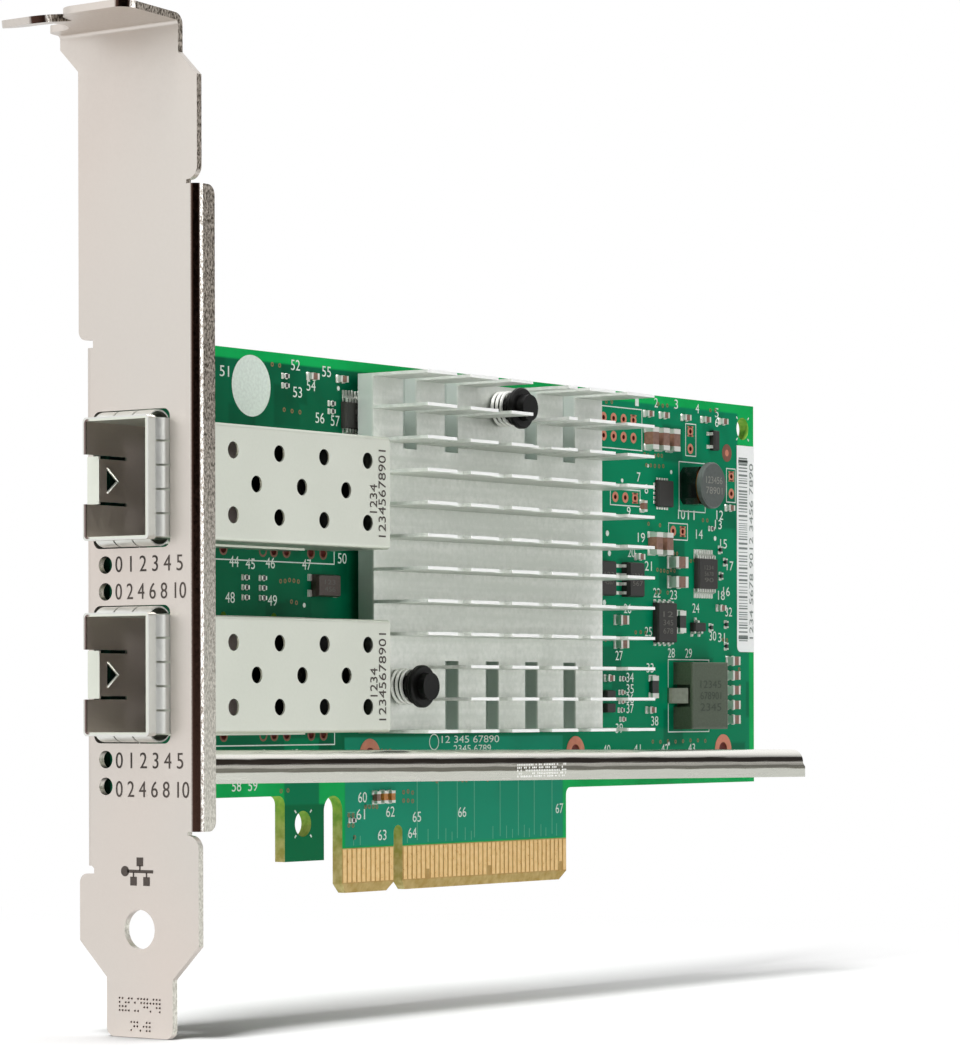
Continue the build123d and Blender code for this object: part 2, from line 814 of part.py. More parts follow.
def cage_shell(top_z):
    """Open mouth, closed rear, vented top, latch tongue and connector window."""
    low_z = top_z - cage_width
    top_y = -half_board - cage_height
    shell = block(rim_x, cage_rear_x, -half_board, top_y, low_z, top_z)
    shell = fillet(shell.edges().filter_by(Axis.X), cage_edge_radius)
    hollow = block(
        rim_x - 1, cage_rear_x - cage_wall, -half_board - cage_wall, top_y + cage_wall,
        low_z + cage_wall, top_z - cage_wall)
    shell -= hollow
    window = block(
        cage_rear_x - connector_window_start, cage_rear_x - connector_window_end,
        0, -half_board - cage_wall - 0.1,
        low_z + connector_window_side, top_z - connector_window_side)
    return shell - window


def vent_holes(top_z):
    """Three rows of round holes in the top, the middle row set between the others."""
    middle_z = top_z - cage_width / 2
    last_x = cage_rear_x - vent_from_rear
    spots = [(last_x - i * vent_pitch_x, middle_z + s * vent_pitch_z) for i in range(4) for s in (-1, 1)]
    spots += [(last_x - (i + 0.5) * vent_pitch_x, middle_z) for i in range(3)]
    return [
        on_board(Pos(x, z) * Circle(vent_d / 2), 2 * cage_wall, cage_height - 1.5 * cage_wall)
        for x, z in spots]


def latch_cuts(top_z):
    """Two slits and a triangle that free the latch tongue in the floor."""
    middle_z = top_z - cage_width / 2
    start = rim_x + latch_start
    cuts = []
    for side in (-1, 1):
        z = middle_z + side * (latch_width + latch_slit) / 2
        cuts.append(block(
            rim_x - 0.1, start + latch_length, 0, -half_board - cage_wall - 0.1,
            z - latch_slit / 2, z + latch_slit / 2))
    half = latch_triangle / 2
    base = start + latch_triangle_start
    triangle = Polygon(
        (base, middle_z - half), (base + 1.3 * half, middle_z), (base, middle_z + half), align=None)
    cuts.append(extrude(Plane.XZ * triangle, amount=2))
    cuts.append(block(
        rim_x - 0.1, start, 0, -half_board - cage_wall - 0.1,
        middle_z - latch_width / 2, middle_z + latch_width / 2))
    return cuts


def latch_lip(top_z):
    """The front end of the latch tongue, bent down square in front of the bracket."""
    middle_z = top_z - cage_width / 2
    start = rim_x + latch_start
    lip = block(
        start, start + cage_wall, -half_board + latch_lip_drop, -half_board - cage_wall,
        middle_z - latch_lip_width / 2, middle_z + latch_lip_width / 2)
    outer_edge = [
        e for e in lip.edges().filter_by(Axis.Z)
        if abs(e.center().X - start) < 0.01 and e.center().Y < -half_board]
    return fillet(outer_edge, 0.8 * cage_wall)


def skirts(top_z):
    """The outer layer along both sides of the cage next to the board."""
    strips = []
    for side, edge in ((1, top_z), (-1, top_z - cage_width)):
        strips.append(block(
            bracket_back_x + 1, skirt_end_x, -half_board, -half_board - skirt_height,
            edge, edge + side * cage_wall))
    return strips


def cage_pins(top_z):
    """Press fit pins that drop from the skirts through the board."""
    legs = []
    for side, edge in ((1, top_z), (-1, top_z - cage_width)):
        for back in cage_pins_from_rear:
            x = cage_rear_x - back
            legs.append(block(
                x - cage_pin_width / 2, x + cage_pin_width / 2,
                -half_board - skirt_height / 2, cage_pin_length - half_board,
                edge, edge + side * cage_wall))
    return legs


def cage(top_z):
    shape = cage_shell(top_z)
    for hole in vent_holes(top_z):
        shape -= hole
    for cut in latch_cuts(top_z):
        shape -= cut
    shape += latch_lip(top_z)
    for strip in skirts(top_z) + cage_pins(top_z):
        shape += strip
    return shape


def finger_profile():
    """One spring finger seen from the side: x along the cage, y away from its wall."""
    start = rim_x + collar_band - 0.1
    end = rim_x + finger_tail
    middle = (start + end) / 2
    inner_top = finger_bulge - collar_thick
    with BuildSketch() as profile:
        with BuildLine():
            ThreePointArc((start, collar_thick), (middle, finger_bulge), (end, finger_foot))
            Line((end, finger_foot), (end, finger_foot - collar_thick))
            ThreePointArc((end, finger_foot - collar_thick), (middle, inner_top), (start, 0))
            Line((start, 0), (start, collar_thick))
        make_face()
    return profile.sketch


def emi_collar(top_z):
    """A band round the mouth with spring fingers that run back through the window."""
    low_z = top_z - cage_width
    middle_z = top_z - cage_width / 2
    top_y = -half_board - cage_height
    middle_y = -half_board - cage_height / 2
    outer = block(
        rim_x, rim_x + collar_band, -half_board + collar_thick, top_y - collar_thick,
        low_z - collar_thick, top_z + collar_thick)
    outer = fillet(outer.edges().filter_by(Axis.X), cage_edge_radius)
    inner = block(rim_x - 1, rim_x + collar_band + 1, -half_board, top_y, low_z, top_z)
    inner = fillet(inner.edges().filter_by(Axis.X), cage_edge_radius)
    latch_gap = block(
        rim_x - 1, rim_x + collar_band + 1, -half_board - 0.5, 2,
        middle_z - latch_width / 2 - latch_slit, middle_z + latch_width / 2 + latch_slit)
    collar = outer - inner - latch_gap
    profile = finger_profile()
    pitch = cage_width / top_fingers
    for i in range(top_fingers):
        z = low_z + (i + 0.5) * pitch
        width = pitch - finger_gap
        finger = extrude(profile, amount=width)
        front = Pos(0, top_y, z + width / 2) * Rot(180, 0, 0) * finger
        collar += front
        if i in (0, top_fingers - 1):
            collar += Pos(0, -half_board, z - width / 2) * finger
    for side, edge in ((1, top_z), (-1, low_z)):
        for i in range(side_fingers):
            y = middle_y + (i - (side_fingers - 1) / 2) * side_finger_pitch
            width = side_finger_pitch - finger_gap
            finger = extrude(profile, amount=width)
            turned = Rot(side * 90, 0, 0) * finger
            collar += Pos(0, y + side * width / 2, edge) * turned
    return collar


def host_connector(top_z):
    """The socket on the board that a plugged transceiver mates with."""
    middle_z = top_z - cage_width / 2
    rear = cage_rear_x - host_from_rear
    body = block(
        rear - host_depth, rear, -half_board, -half_board - host_height,
        middle_z - host_width / 2, middle_z + host_width / 2)
    body = chamfer(body.faces().sort_by(Axis.X)[0].edges(), 0.5)
    slot = block(
        rear - host_depth - 1, rear - host_depth + host_slot_depth,
        -half_board - host_slot_lift, -half_board - host_slot_lift - host_slot_height,
        middle_z - host_slot_width / 2, middle_z + host_slot_width / 2)
    return body - slot


def host_contacts(top_z):
    """The blades on both walls of the socket's slot."""
    middle_z = top_z - cage_width / 2
    front = cage_rear_x - host_from_rear - host_depth
    blades = []
    for wall, inward in ((host_slot_lift, 1), (host_slot_lift + host_slot_height, -1)):
        y = -half_board - wall
        for i in range(host_row_count):
            z = middle_z + (i - (host_row_count - 1) / 2) * host_row_pitch
            blades.append(block(
                front + 1, front + host_slot_depth, y, y - inward * host_row_foil,
                z - host_row_width / 2, z + host_row_width / 2))
    return Compound(blades)


for place, cage_z in cage_tops.items():
    save(cage(cage_z), f"cage_{place}")
    save(emi_collar(cage_z), f"emi_collar_{place}")
    save(host_connector(cage_z), f"host_connector_{place}")
    save(host_contacts(cage_z), f"host_contacts_{place}")


# Heat sink

def fin_z(index):
    span = sink_high - sink_low - sink_fin_thick
    return sink_low + sink_fin_thick / 2 + index * span / (sink_fin_count - 1)


def channel_xs():
    return [
        sink_left + sink_channel_start + i * sink_channel_pitch + sink_channel_width / 2
        for i in range(sink_channel_count)]


def pin_pockets():
    """Where the fins are milled away round the push pins."""
    high_left = pin_high_x - pocket_side
    high_right = pin_high_x + pocket_side
    low_bottom = pin_low_z - pin_flange_d / 2 - pocket_gap
    low_top = pin_low_z + pin_flange_d / 2 + pocket_low_rise
    low_right = channel_xs()[0] + sink_channel_width / 2
    high_bottom = pin_high_z - pin_flange_d / 2 - pocket_high_drop
    return [
        block(high_left, high_right, sink_face_y, sink_tip_y - 1, high_bottom, sink_high + 1),
        block(sink_left - 1, low_right, sink_face_y, sink_tip_y - 1, low_bottom, low_top)]


def channel_cuts():
    """Cross cuts, deep at both ends of the fin block and shallow in its middle.

    A deep cut is left out where the fins beside a push pin are milled away anyway."""
    cuts = []
    for i, x in enumerate(channel_xs()):
        x0 = x - sink_channel_width / 2
        x1 = x + sink_channel_width / 2
        cuts.append(block(
            x0, x1, sink_tip_y + sink_tip_cut, sink_tip_y - 1, sink_low - 1, sink_high + 1))
        floor = sink_face_y + sink_channel_base_depth
        if i != channel_by_lower_pin:
            cuts.append(block(
                x0, x1, floor, sink_tip_y - 1, sink_low - 1, sink_low + sink_deep_rows_z))
        if i != channel_by_upper_pin:
            cuts.append(block(
                x0, x1, floor, sink_tip_y - 1, sink_high - sink_deep_rows_z, sink_high + 1))
    return cuts


def heat_sink():
    body = block(sink_left, sink_right, sink_back_y, sink_face_y, sink_low, sink_high)
    for i in range(sink_fin_count):
        z = fin_z(i)
        body += block(
            sink_left, sink_right, sink_face_y, sink_tip_y,
            z - sink_fin_thick / 2, z + sink_fin_thick / 2)
    for cut in channel_cuts() + pin_pockets():
        body -= cut
    for x, z in pins.values():
        hole = Cylinder((pin_shaft_d + pin_hole_clearance) / 2, 4 * sink_base, rotation=(90, 0, 0))
        body -= Pos(x, sink_face_y, z) * hole
    return body


def controller_chip():
    die = Pos(chip_x, chip_z) * Rectangle(chip_size, chip_size)
    return on_board(die, chip_height)


def thermal_pad():
    size = chip_size - 2 * pad_margin
    return on_board(Pos(chip_x, chip_z) * Rectangle(size, size), sink_gap - chip_height, chip_height)


def push_pin(x, z):
    """Knob, flange, collar, shaft through heat sink and board, and the split snap end."""
    seat = -sink_face_y - half_board
    collar_low = seat + pin_spring_height + 2 * spring_end_gap
    flange_low = collar_low + pin_collar_thick
    collar = on_board(Pos(x, z) * Circle(pin_collar_d / 2), pin_collar_thick, collar_low)
    shaft = on_board(Pos(x, z) * Circle(pin_shaft_d / 2), flange_low + board_thick, -board_thick)
    flange = on_board(Pos(x, z) * Circle(pin_flange_d / 2), pin_flange_thick, flange_low)
    rims = flange.edges().filter_by(GeomType.CIRCLE)
    flange = chamfer(rims, pin_flange_thick / 4)
    knob = on_board(Pos(x, z) * Circle(pin_knob_d / 2), pin_knob_height, flange_low + pin_flange_thick)
    snap = behind_board(Pos(x, z) * Circle(pin_snap_d / 2), pin_snap_height)
    tip = [e for e in snap.edges() if abs(e.center().Y - half_board - pin_snap_height) < 0.01]
    snap = chamfer(tip, pin_snap_height * 0.6)
    split = block(x - 0.3, x + 0.3, half_board + 0.4, half_board + 4, z - 3, z + 3)
    return shaft + collar + flange + knob + (snap - split)


def pin_spring(x, z):
    """A coil spring between the heat sink's base and the collar."""
    lift = -sink_face_y - half_board + spring_end_gap + spring_wire / 2
    height = pin_spring_height - spring_wire
    pitch = height / spring_turns
    radius = (spring_d - spring_wire) / 2
    path = Helix(pitch, height, radius)
    section = Plane(path @ 0, z_dir=path % 0) * RegularPolygon(spring_wire / 2, 6)
    coil = sweep(section, path, is_frenet=True)
    return Plane.XZ.offset(half_board + lift) * Pos(x, z) * coil


save(heat_sink(), "heat_sink")
save(controller_chip(), "controller_chip")
save(thermal_pad(), "thermal_pad")
for place, (pin_x, pin_z) in pins.items():
    save(push_pin(pin_x, pin_z), f"push_pin_{place}")
    save(pin_spring(pin_x, pin_z), f"pin_spring_{place}")


# Parts soldered to the component side

def lead(x, z, away, package_height, width, reach):
    """One bent lead from half the package's height down to a foot on the board."""
    up = package_height / 2
    knee = reach * 0.3
    heel = reach * 0.5
    foil = lead_foil
    side = Polygon(
        (0, up), (knee - foil / 2, up), (heel - foil / 2, 0), (reach, 0), (reach, foil),
        (heel + foil / 2, foil), (knee + foil / 2, up + foil), (0, up + foil), align=None)
    across = Vector(away).cross(Vector(0, -1, 0))
    plane = Plane(origin=(x, -half_board, z), x_dir=away, z_dir=across)
    return extrude(plane * side, amount=width / 2, both=True)


def lead_row(x, z, away, spread, count, pitch, package_height, width, reach):
    """A row of leads on one side of a package centred on x and z."""
    row = []
    for i in range(count):
        along = (i - (count - 1) / 2) * pitch
        lead_x = x + away[0] * spread / 2 + abs(away[2]) * along
        lead_z = z + away[2] * spread / 2 + abs(away[0]) * along
        row.append(lead(lead_x, lead_z, away, package_height, width, reach))
    return row


def package_body(x, z, size_x, size_z, height):
    """A moulded package with drafted upper edges that hangs just clear of the board."""
    standoff = min(0.1, height / 8)
    body = on_board(Pos(x, z) * Rectangle(size_x, size_z), height - standoff, standoff)
    top = body.faces().sort_by(Axis.Y)[0]
    return chamfer(top.edges(), height / 3, height / 9)


def chip_part(x, z, case, upright):
    """Body and the two end terminals of a chip capacitor or resistor."""
    length, width, height = case_sizes[case]
    cap = length * terminal_share
    size_x = width if upright else length
    size_z = length if upright else width
    inner_x = size_x if upright else length - 2 * cap
    inner_z = length - 2 * cap if upright else size_z
    body = on_board(Pos(x, z) * Rectangle(inner_x, inner_z), height - terminal_raise, terminal_raise)
    ends = []
    for side in (-1, 1):
        offset = side * (length - cap) / 2
        spot = Pos(x, z + offset) if upright else Pos(x + offset, z)
        shape = Rectangle(size_x, cap) if upright else Rectangle(cap, size_z)
        ends.append(on_board(spot * shape, height + terminal_raise))
    return body, ends


def chip_parts():
    """Every chip part, sorted into bodies by kind and one group of terminals."""
    groups = {"small_capacitors": [], "tall_capacitors": [], "resistors": []}
    rows = [("small_capacitors", from_right, row) for row in right_capacitors]
    rows += [("small_capacitors", from_left, row) for row in left_capacitors]
    rows += [("tall_capacitors", from_right, (a, b, "tall", up)) for a, b, up in tall_capacitors]
    rows += [("resistors", from_right, row) for row in right_resistors]
    rows += [("resistors", from_left, row) for row in left_resistors]
    terminals = []
    for group, place, (inward, down, case, upright) in rows:
        body, ends = chip_part(*place(inward, down), case, upright)
        groups[group].append(body)
        terminals += ends
    lower_parts = [("fuses", spot, "small", True) for spot in fuse_spots]
    lower_parts += [("small_capacitors", fuse_neighbour, "small", True)]
    lower_parts += [("resistors", tongue_resistor, "tiny", False)]
    groups["fuses"] = []
    for group, (x, lift), case, upright in lower_parts:
        body, ends = chip_part(x, board_bottom + lift, case, upright)
        groups[group].append(body)
        terminals += ends
    groups["chip_terminals"] = terminals
    return groups


def gull_chips():
    """The four leaded packages, and all their leads."""
    bodies = {}
    leads = []
    for name, spec in gull_packages.items():
        inward, down, size_x, size_z, height, upright, count, pitch, width, reach = spec
        x, z = from_right(inward, down)
        bodies[name] = package_body(x, z, size_x, size_z, height)
        spread = size_z if upright else size_x
        for side in (-1, 1):
            away = (0, 0, side) if upright else (side, 0, 0)
            leads += lead_row(x, z, away, spread, count, pitch, height, width, reach)
    return bodies, leads


def transistor(inward, down, side):
    """A three lead transistor: body and leads, two on the named side and one opposite."""
    x, z = from_right(inward, down)
    upright = side == "left"
    size_x = transistor_width if upright else transistor_length
    size_z = transistor_length if upright else transistor_width
    body = package_body(x, z, size_x, size_z, transistor_height)
    near = (-1, 0, 0) if upright else (0, 0, -1)
    far = (1, 0, 0) if upright else (0, 0, 1)
    leads = lead_row(
        x, z, near, transistor_width, 2, transistor_lead_gap, transistor_height,
        transistor_lead_width, transistor_lead_reach)
    leads += lead_row(
        x, z, far, transistor_width, 1, 0, transistor_height,
        transistor_lead_width, transistor_lead_reach)
    return body, leads


def regulator_chip():
    x, z = from_right(*regulator_spot)
    return package_body(x, z, regulator_side, regulator_side, regulator_height)


def regulator_solder_pads():
    """Short pads that look out from under all four sides of the regulator."""
    x, z = from_right(*regulator_spot)
    edge = regulator_side / 2 + regulator_pad / 2
    pads = []
    for i in range(regulator_pads):
        along = (i - (regulator_pads - 1) / 2) * regulator_pad_pitch
        for dx, dz in ((edge, along), (-edge, along), (along, edge), (along, -edge)):
            pads.append(on_board(Pos(x + dx, z + dz) * Rectangle(regulator_pad, regulator_pad), copper_foil))
    return pads


def crystal():
    x, z = from_left(*crystal_spot)
    size_x, size_z, height = crystal_size
    return package_body(x, z, size_x, size_z, height)


def crystal_pads():
    """Four solder lands that stick out at the ends of the crystal."""
    x, z = from_left(*crystal_spot)
    size_x, size_z, height = crystal_size
    pads = []
    for sx in (-1, 1):
        for sz in (-1, 1):
            land = Pos(x + sx * (size_x / 2 + 0.3), z + sz * (size_z / 2 - 0.4)) * Rectangle(0.6, 0.8)
            pads.append(on_board(land, height / 6))
    return pads


def drum_core():
    """Ferrite drum: a base with two cut corners, a neck and the upper disc."""
    x, z = from_right(*drum_spot)
    base = Rectangle(drum_base_width, drum_base_length)
    base = chamfer(base.vertices(), drum_base_width / 6)
    core = on_board(Pos(x, z) * base, drum_base_height)
    neck_height = drum_total_height - drum_disc_height
    core += on_board(Pos(x, z) * Circle(drum_neck_d / 2), neck_height)
    disc = on_board(Pos(x, z) * Circle(drum_disc_d / 2), drum_disc_height, neck_height)
    disc = chamfer(disc.edges().filter_by(GeomType.CIRCLE), drum_disc_height / 5)
    return core + disc


def drum_winding():
    x, z = from_right(*drum_spot)
    ring = Pos(x, z) * (Circle(drum_wire_d / 2) - Circle(drum_neck_d / 2 + 0.05))
    height = drum_total_height - drum_disc_height - drum_base_height
    return on_board(ring, height, drum_base_height)


def power_inductor():
    """A moulded ferrite block with a notch in each end for its strap."""
    x, z = from_right(*power_spot)
    body = on_board(Pos(x, z) * Rectangle(power_length, power_width), power_height)
    top = body.faces().sort_by(Axis.Y)[0]
    body = fillet(top.edges(), power_height / 10)
    for side in (-1, 1):
        edge = x + side * power_length / 2
        body -= block(
            edge - side * power_notch_depth, edge + side, 0, -half_board - power_strap_height - 0.4,
            z - power_notch_width / 2, z + power_notch_width / 2)
    return body


def inductor_straps():
    """The flat conductor that leaves the block at each end and turns down to the board."""
    x, z = from_right(*power_spot)
    straps = []
    for side in (-1, 1):
        root = power_length / 2 - power_notch_depth
        outer = power_length / 2 + power_foot
        high = power_strap_height
        thick = power_strap_thick
        heel = power_length / 2 - 0.2
        profile = Polygon(
            (root, high), (heel, high), (outer - power_foot / 2, thick), (outer, thick), (outer, 0),
            (outer - power_foot / 2 - thick, 0), (heel - thick, high - thick), (root, high - thick),
            align=None)
        away = (side, 0, 0)
        across = Vector(away).cross(Vector(0, -1, 0))
        plane = Plane(origin=(x, -half_board, z), x_dir=away, z_dir=across)
        straps.append(extrude(plane * profile, amount=power_strap_width / 2, both=True))
    return straps


def status_lamps():
    """A lamp on the board behind each of the four holes in the bracket."""
    lamps = []
    for top_z in cage_tops.values():
        for drop in led_drops:
            spot = Pos(bracket_back_x + lamp_from_bracket, top_z - cage_width - drop)
            lamps.append(on_board(spot * Rectangle(lamp_length, lamp_width), lamp_height))
    return Compound(lamps)


chip_bodies, chip_leads = gull_chips()
transistor_bodies = []
for row in transistors:
    transistor_body, transistor_leads = transistor(*row)
    transistor_bodies.append(transistor_body)
    chip_leads += transistor_leads
for name, body in chip_bodies.items():
    save(body, name)
save(Compound(chip_leads + crystal_pads() + regulator_solder_pads()), "chip_leads")
save(Compound(transistor_bodies), "transistors")
for name, solids in chip_parts().items():
    save(Compound(solids), name)
save(package_body(*from_right(*switch_chip[:2]), *switch_chip[2:]), "switch_chip")
save(Compound([package_body(*from_right(*spot), *diode_size) for spot in diode_spots]), "diodes")
save(regulator_chip(), "regulator_chip")
save(crystal(), "crystal")
save(drum_core(), "drum_core")
save(drum_winding(), "drum_winding")
save(power_inductor(), "power_inductor")
save(Compound(inductor_straps()), "inductor_straps")
save(status_lamps(), "status_lamps")
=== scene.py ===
# %% [markdown]
# # A network interface card
# This lesson dresses a finished card: a green circuit board on a nickel plated slot
# bracket, with two transceiver cages, a finned heat sink and a steel rail. The hard
# parts are already solid models. What is left for Blender is the light, the finish of
# each metal, plastic and lacquer, the white printing, the solder and the small ink marks.

# %% Load the solid model
import math
import random

import bmesh
import bpy
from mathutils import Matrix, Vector


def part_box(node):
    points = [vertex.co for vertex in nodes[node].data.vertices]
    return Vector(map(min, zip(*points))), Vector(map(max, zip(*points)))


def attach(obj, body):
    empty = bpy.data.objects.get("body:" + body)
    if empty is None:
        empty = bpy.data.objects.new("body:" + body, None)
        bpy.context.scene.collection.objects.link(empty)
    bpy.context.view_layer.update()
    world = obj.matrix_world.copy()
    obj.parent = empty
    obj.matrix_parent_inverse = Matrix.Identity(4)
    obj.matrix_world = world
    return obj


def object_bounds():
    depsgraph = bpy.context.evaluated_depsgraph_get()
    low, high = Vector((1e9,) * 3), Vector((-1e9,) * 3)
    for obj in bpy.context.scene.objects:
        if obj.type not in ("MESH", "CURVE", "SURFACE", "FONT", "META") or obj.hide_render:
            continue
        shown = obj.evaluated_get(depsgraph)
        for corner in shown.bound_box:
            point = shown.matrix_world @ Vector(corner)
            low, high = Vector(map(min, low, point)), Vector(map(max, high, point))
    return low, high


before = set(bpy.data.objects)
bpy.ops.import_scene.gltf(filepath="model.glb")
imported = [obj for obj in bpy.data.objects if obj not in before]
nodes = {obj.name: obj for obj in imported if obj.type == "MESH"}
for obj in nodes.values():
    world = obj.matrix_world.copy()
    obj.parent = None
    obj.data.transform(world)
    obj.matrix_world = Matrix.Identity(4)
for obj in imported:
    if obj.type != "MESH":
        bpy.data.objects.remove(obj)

cad_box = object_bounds()
print("pieces in the frame:", len(nodes))

# %% [markdown]
# Blender counts in metres, and the card's sizes are easier to read in millimetres, so one
# name holds the factor. The corners of each piece come from the frame itself. Marks are
# placed in the card's own millimetres, a few hundredths above the face that they are on.

# %% Sizes that the later cells share
MM = 0.001
INK = 0.03 * MM


def corners(name):
    """Lowest and highest corner of a piece, in millimetres."""
    low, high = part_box(name)
    return Vector(low) / MM, Vector(high) / MM


board_low, board_high = corners("circuit_board")
board_front = board_low.y
print("board corners, mm:", tuple(round(v, 2) for v in board_low), tuple(round(v, 2) for v in board_high))

# %% [markdown]
# Colours are written as the sRGB hex values that a paint chart or a photo editor shows.
# Blender's shaders work with linear light, so one function turns a hex value into that.

# %% Colours from hex values
def linear(hex_colour):
    """sRGB hex, such as "#DAD4CB", as linear red, green, blue and alpha."""
    channels = [int(hex_colour[i:i + 2], 16) / 255 for i in (1, 3, 5)]
    return tuple(c / 12.92 if c <= 0.04045 else ((c + 0.055) / 1.055) ** 2.4 for c in channels) + (1.0,)


# %% [markdown]
# A finish is a small network of shader nodes. One function adds a node, sets its values
# and links its inputs, so that each finish below reads as a list of what feeds what.
# A second one starts a finish with the usual surface shader and object coordinates,
# which are the card's own metres. A pattern's scale is worked out from the width of its
# grain. Real plating, etching, ink and moulded skin are grained at a few hundredths of a
# millimetre, too fine to show in the render, so most are drawn at a few tenths.
#
# Inputs are named or numbered. Mix takes its factor at 0 and its two colours at 6 and 7.
# Map Range takes a value at 0, its range at 1 and 2, and the range it is stretched to at
# 3 and 4, which is 0 to 1 where none is given. Math takes its two numbers at 0 and 1.

# %% Build a finish
def add(tree, kind, inputs=(), **settings):
    """Add a node. A socket given as an input is linked, and a hex colour or number is set."""
    node = tree.nodes.new(kind)
    for key, value in settings.items():
        setattr(node, key, value)
    for key, value in dict(inputs).items():
        if isinstance(value, bpy.types.NodeSocket):
            tree.links.new(value, node.inputs[key])
        elif isinstance(value, str):
            node.inputs[key].default_value = linear(value)
        else:
            node.inputs[key].default_value = value
    return node


def grain(width):
    """A pattern's scale, from the width in millimetres of one grain, line or cell."""
    return 1 / (width * MM)


def new_finish(name, colour, metallic, roughness, ior=None):
    """A material and its parts: the tree, the surface shader and object coordinates."""
    material = bpy.data.materials.new(name)
    material.use_nodes = True
    tree = material.node_tree
    shader = tree.nodes["Principled BSDF"]
    shader.inputs["Base Color"].default_value = linear(colour)
    shader.inputs["Metallic"].default_value = metallic
    shader.inputs["Roughness"].default_value = roughness
    if ior:
        shader.inputs["IOR"].default_value = ior
    where = add(tree, "ShaderNodeTexCoord").outputs["Object"]
    material.diffuse_color = linear(colour)
    return material, tree, shader, where


def dress(finish, *names):
    """Give a finish to every material slot of the named pieces."""
    for name in names:
        for slot in nodes[name].material_slots:
            slot.material = finish


print("helpers are ready, finishes so far:", len(bpy.data.materials))

# %% [markdown]
# ## Solder mask over glass fibre laminate
# The board is woven glass in epoxy, pressed with copper foil and printed on both sides
# with a green lacquer. Over bare laminate the lacquer is a bright, slightly glowing
# green, and over the inner copper planes it is darker. So the finish needs to know where
# it is: the copper planes end about 1 mm inside the cut edge. Cut edges show the bare
# laminate, yellow green where light leaks through, and the tongue is bare and gold brown.
# A function gives a mask for a rectangle of the board's face, and the copper planes are
# a few such rectangles.

# %% Where the copper planes lie
top_margin = 1.3
right_margin = 1.3
tongue_bare_top = 5.75
past_left, past_right = -70, 120


def inside(tree, where, xs, zs, edge=0.15):
    """1 inside a rectangle of the board's face, 0 outside it, with a soft edge."""
    place = add(tree, "ShaderNodeSeparateXYZ", {0: where})
    result = 1.0
    for value, (low, high) in ((place.outputs[0], xs), (place.outputs[2], zs)):
        rise = add(tree, "ShaderNodeMapRange", {
            0: value, 1: (low - edge) * MM, 2: (low + edge) * MM}).outputs[0]
        fall = add(tree, "ShaderNodeMapRange", {
            0: value, 1: (high - edge) * MM, 2: (high + edge) * MM, 3: 1.0, 4: 0.0}).outputs[0]
        both = add(tree, "ShaderNodeMath", {0: rise, 1: fall}, operation="MULTIPLY").outputs[0]
        result = add(tree, "ShaderNodeMath", {0: result, 1: both}, operation="MULTIPLY").outputs[0]
    return result


laminate, tree, shader, where = new_finish("solder_mask_over_laminate", "#0E7A4C", 0.0, 0.32, 1.16)
planes = inside(tree, where, (past_left, board_high.x - right_margin), (16.8, board_high.z - top_margin))
corner = inside(tree, where, (board_high.x - 4.4, past_right), (board_high.z - 6.5, past_right), 0.3)
tongue_plane = inside(tree, where, (-11.4, 38.2), (5.9, 20))
tab_plane = inside(tree, where, (-23.9, -16.8), (11.2, 20))
planes = add(tree, "ShaderNodeMath", {
    0: planes,
    1: add(tree, "ShaderNodeMath", {0: tongue_plane, 1: tab_plane}, operation="MAXIMUM").outputs[0]
}, operation="MAXIMUM").outputs[0]
planes = add(tree, "ShaderNodeMath", {0: planes, 1: corner}, operation="SUBTRACT").outputs[0]
print("copper planes end at x =", round(board_high.x - right_margin, 1), "mm")

# %% [markdown]
# The green itself comes in two families. A large cloud varies both a little, and square
# cells stand for the copper pours, whose edges show faintly through the lacquer. The near
# end of the board lies in the cages' shade, so the green is painted paler towards the far
# end: painted light. The tongue and the tab are each a little paler or bluer.

# %% Greens of the lacquer
cloud = add(tree, "ShaderNodeTexNoise", {"Vector": where, "Scale": grain(11.1), "Detail": 2.0}).outputs[0]
pours = add(tree, "ShaderNodeTexVoronoi", {
    "Vector": where, "Scale": grain(9.52)}, distance="CHEBYCHEV").outputs[0]
pour_tone = add(tree, "ShaderNodeMapRange", {0: pours, 1: 0.25, 2: 0.3}).outputs[0]
dark_green = add(tree, "ShaderNodeMix", {
    0: add(tree, "ShaderNodeMapRange", {0: cloud, 1: 0.35, 2: 0.65}).outputs[0],
    6: "#004F33", 7: "#006645"}, data_type="RGBA").outputs[2]
dark_green = add(tree, "ShaderNodeMix", {
    0: add(tree, "ShaderNodeMath", {0: pour_tone, 1: 0.35}, operation="MULTIPLY").outputs[0],
    6: dark_green, 7: "#08744E"}, data_type="RGBA").outputs[2]
# Painted light: the lacquer grows paler towards the far end, away from the cages' shade.
across = add(tree, "ShaderNodeSeparateXYZ", {0: where}).outputs[0]
lit_far_end = add(tree, "ShaderNodeMath", {
    0: add(tree, "ShaderNodeMapRange", {0: across, 1: 0, 2: 50 * MM}).outputs[0],
    1: tongue_plane}, operation="MAXIMUM").outputs[0]
dark_green = add(tree, "ShaderNodeMix", {
    0: lit_far_end, 6: dark_green,
    7: add(tree, "ShaderNodeMix", {0: pour_tone, 6: "#006C4B", 7: "#008259"}, data_type="RGBA").outputs[2]
}, data_type="RGBA").outputs[2]
dark_green = add(tree, "ShaderNodeMix", {
    0: tongue_plane, 6: dark_green, 7: "#1C9070"}, data_type="RGBA").outputs[2]
dark_green = add(tree, "ShaderNodeMix", {
    0: tab_plane, 6: dark_green, 7: "#007A50"}, data_type="RGBA").outputs[2]
bright_green = add(tree, "ShaderNodeMix", {
    0: add(tree, "ShaderNodeMapRange", {0: cloud, 1: 0.4, 2: 0.6}).outputs[0],
    6: "#05A552", 7: "#10B05A"}, data_type="RGBA").outputs[2]
lacquer = add(tree, "ShaderNodeMix", {
    0: planes, 6: bright_green, 7: dark_green}, data_type="RGBA").outputs[2]
print("nodes in the lacquer so far:", len(tree.nodes))

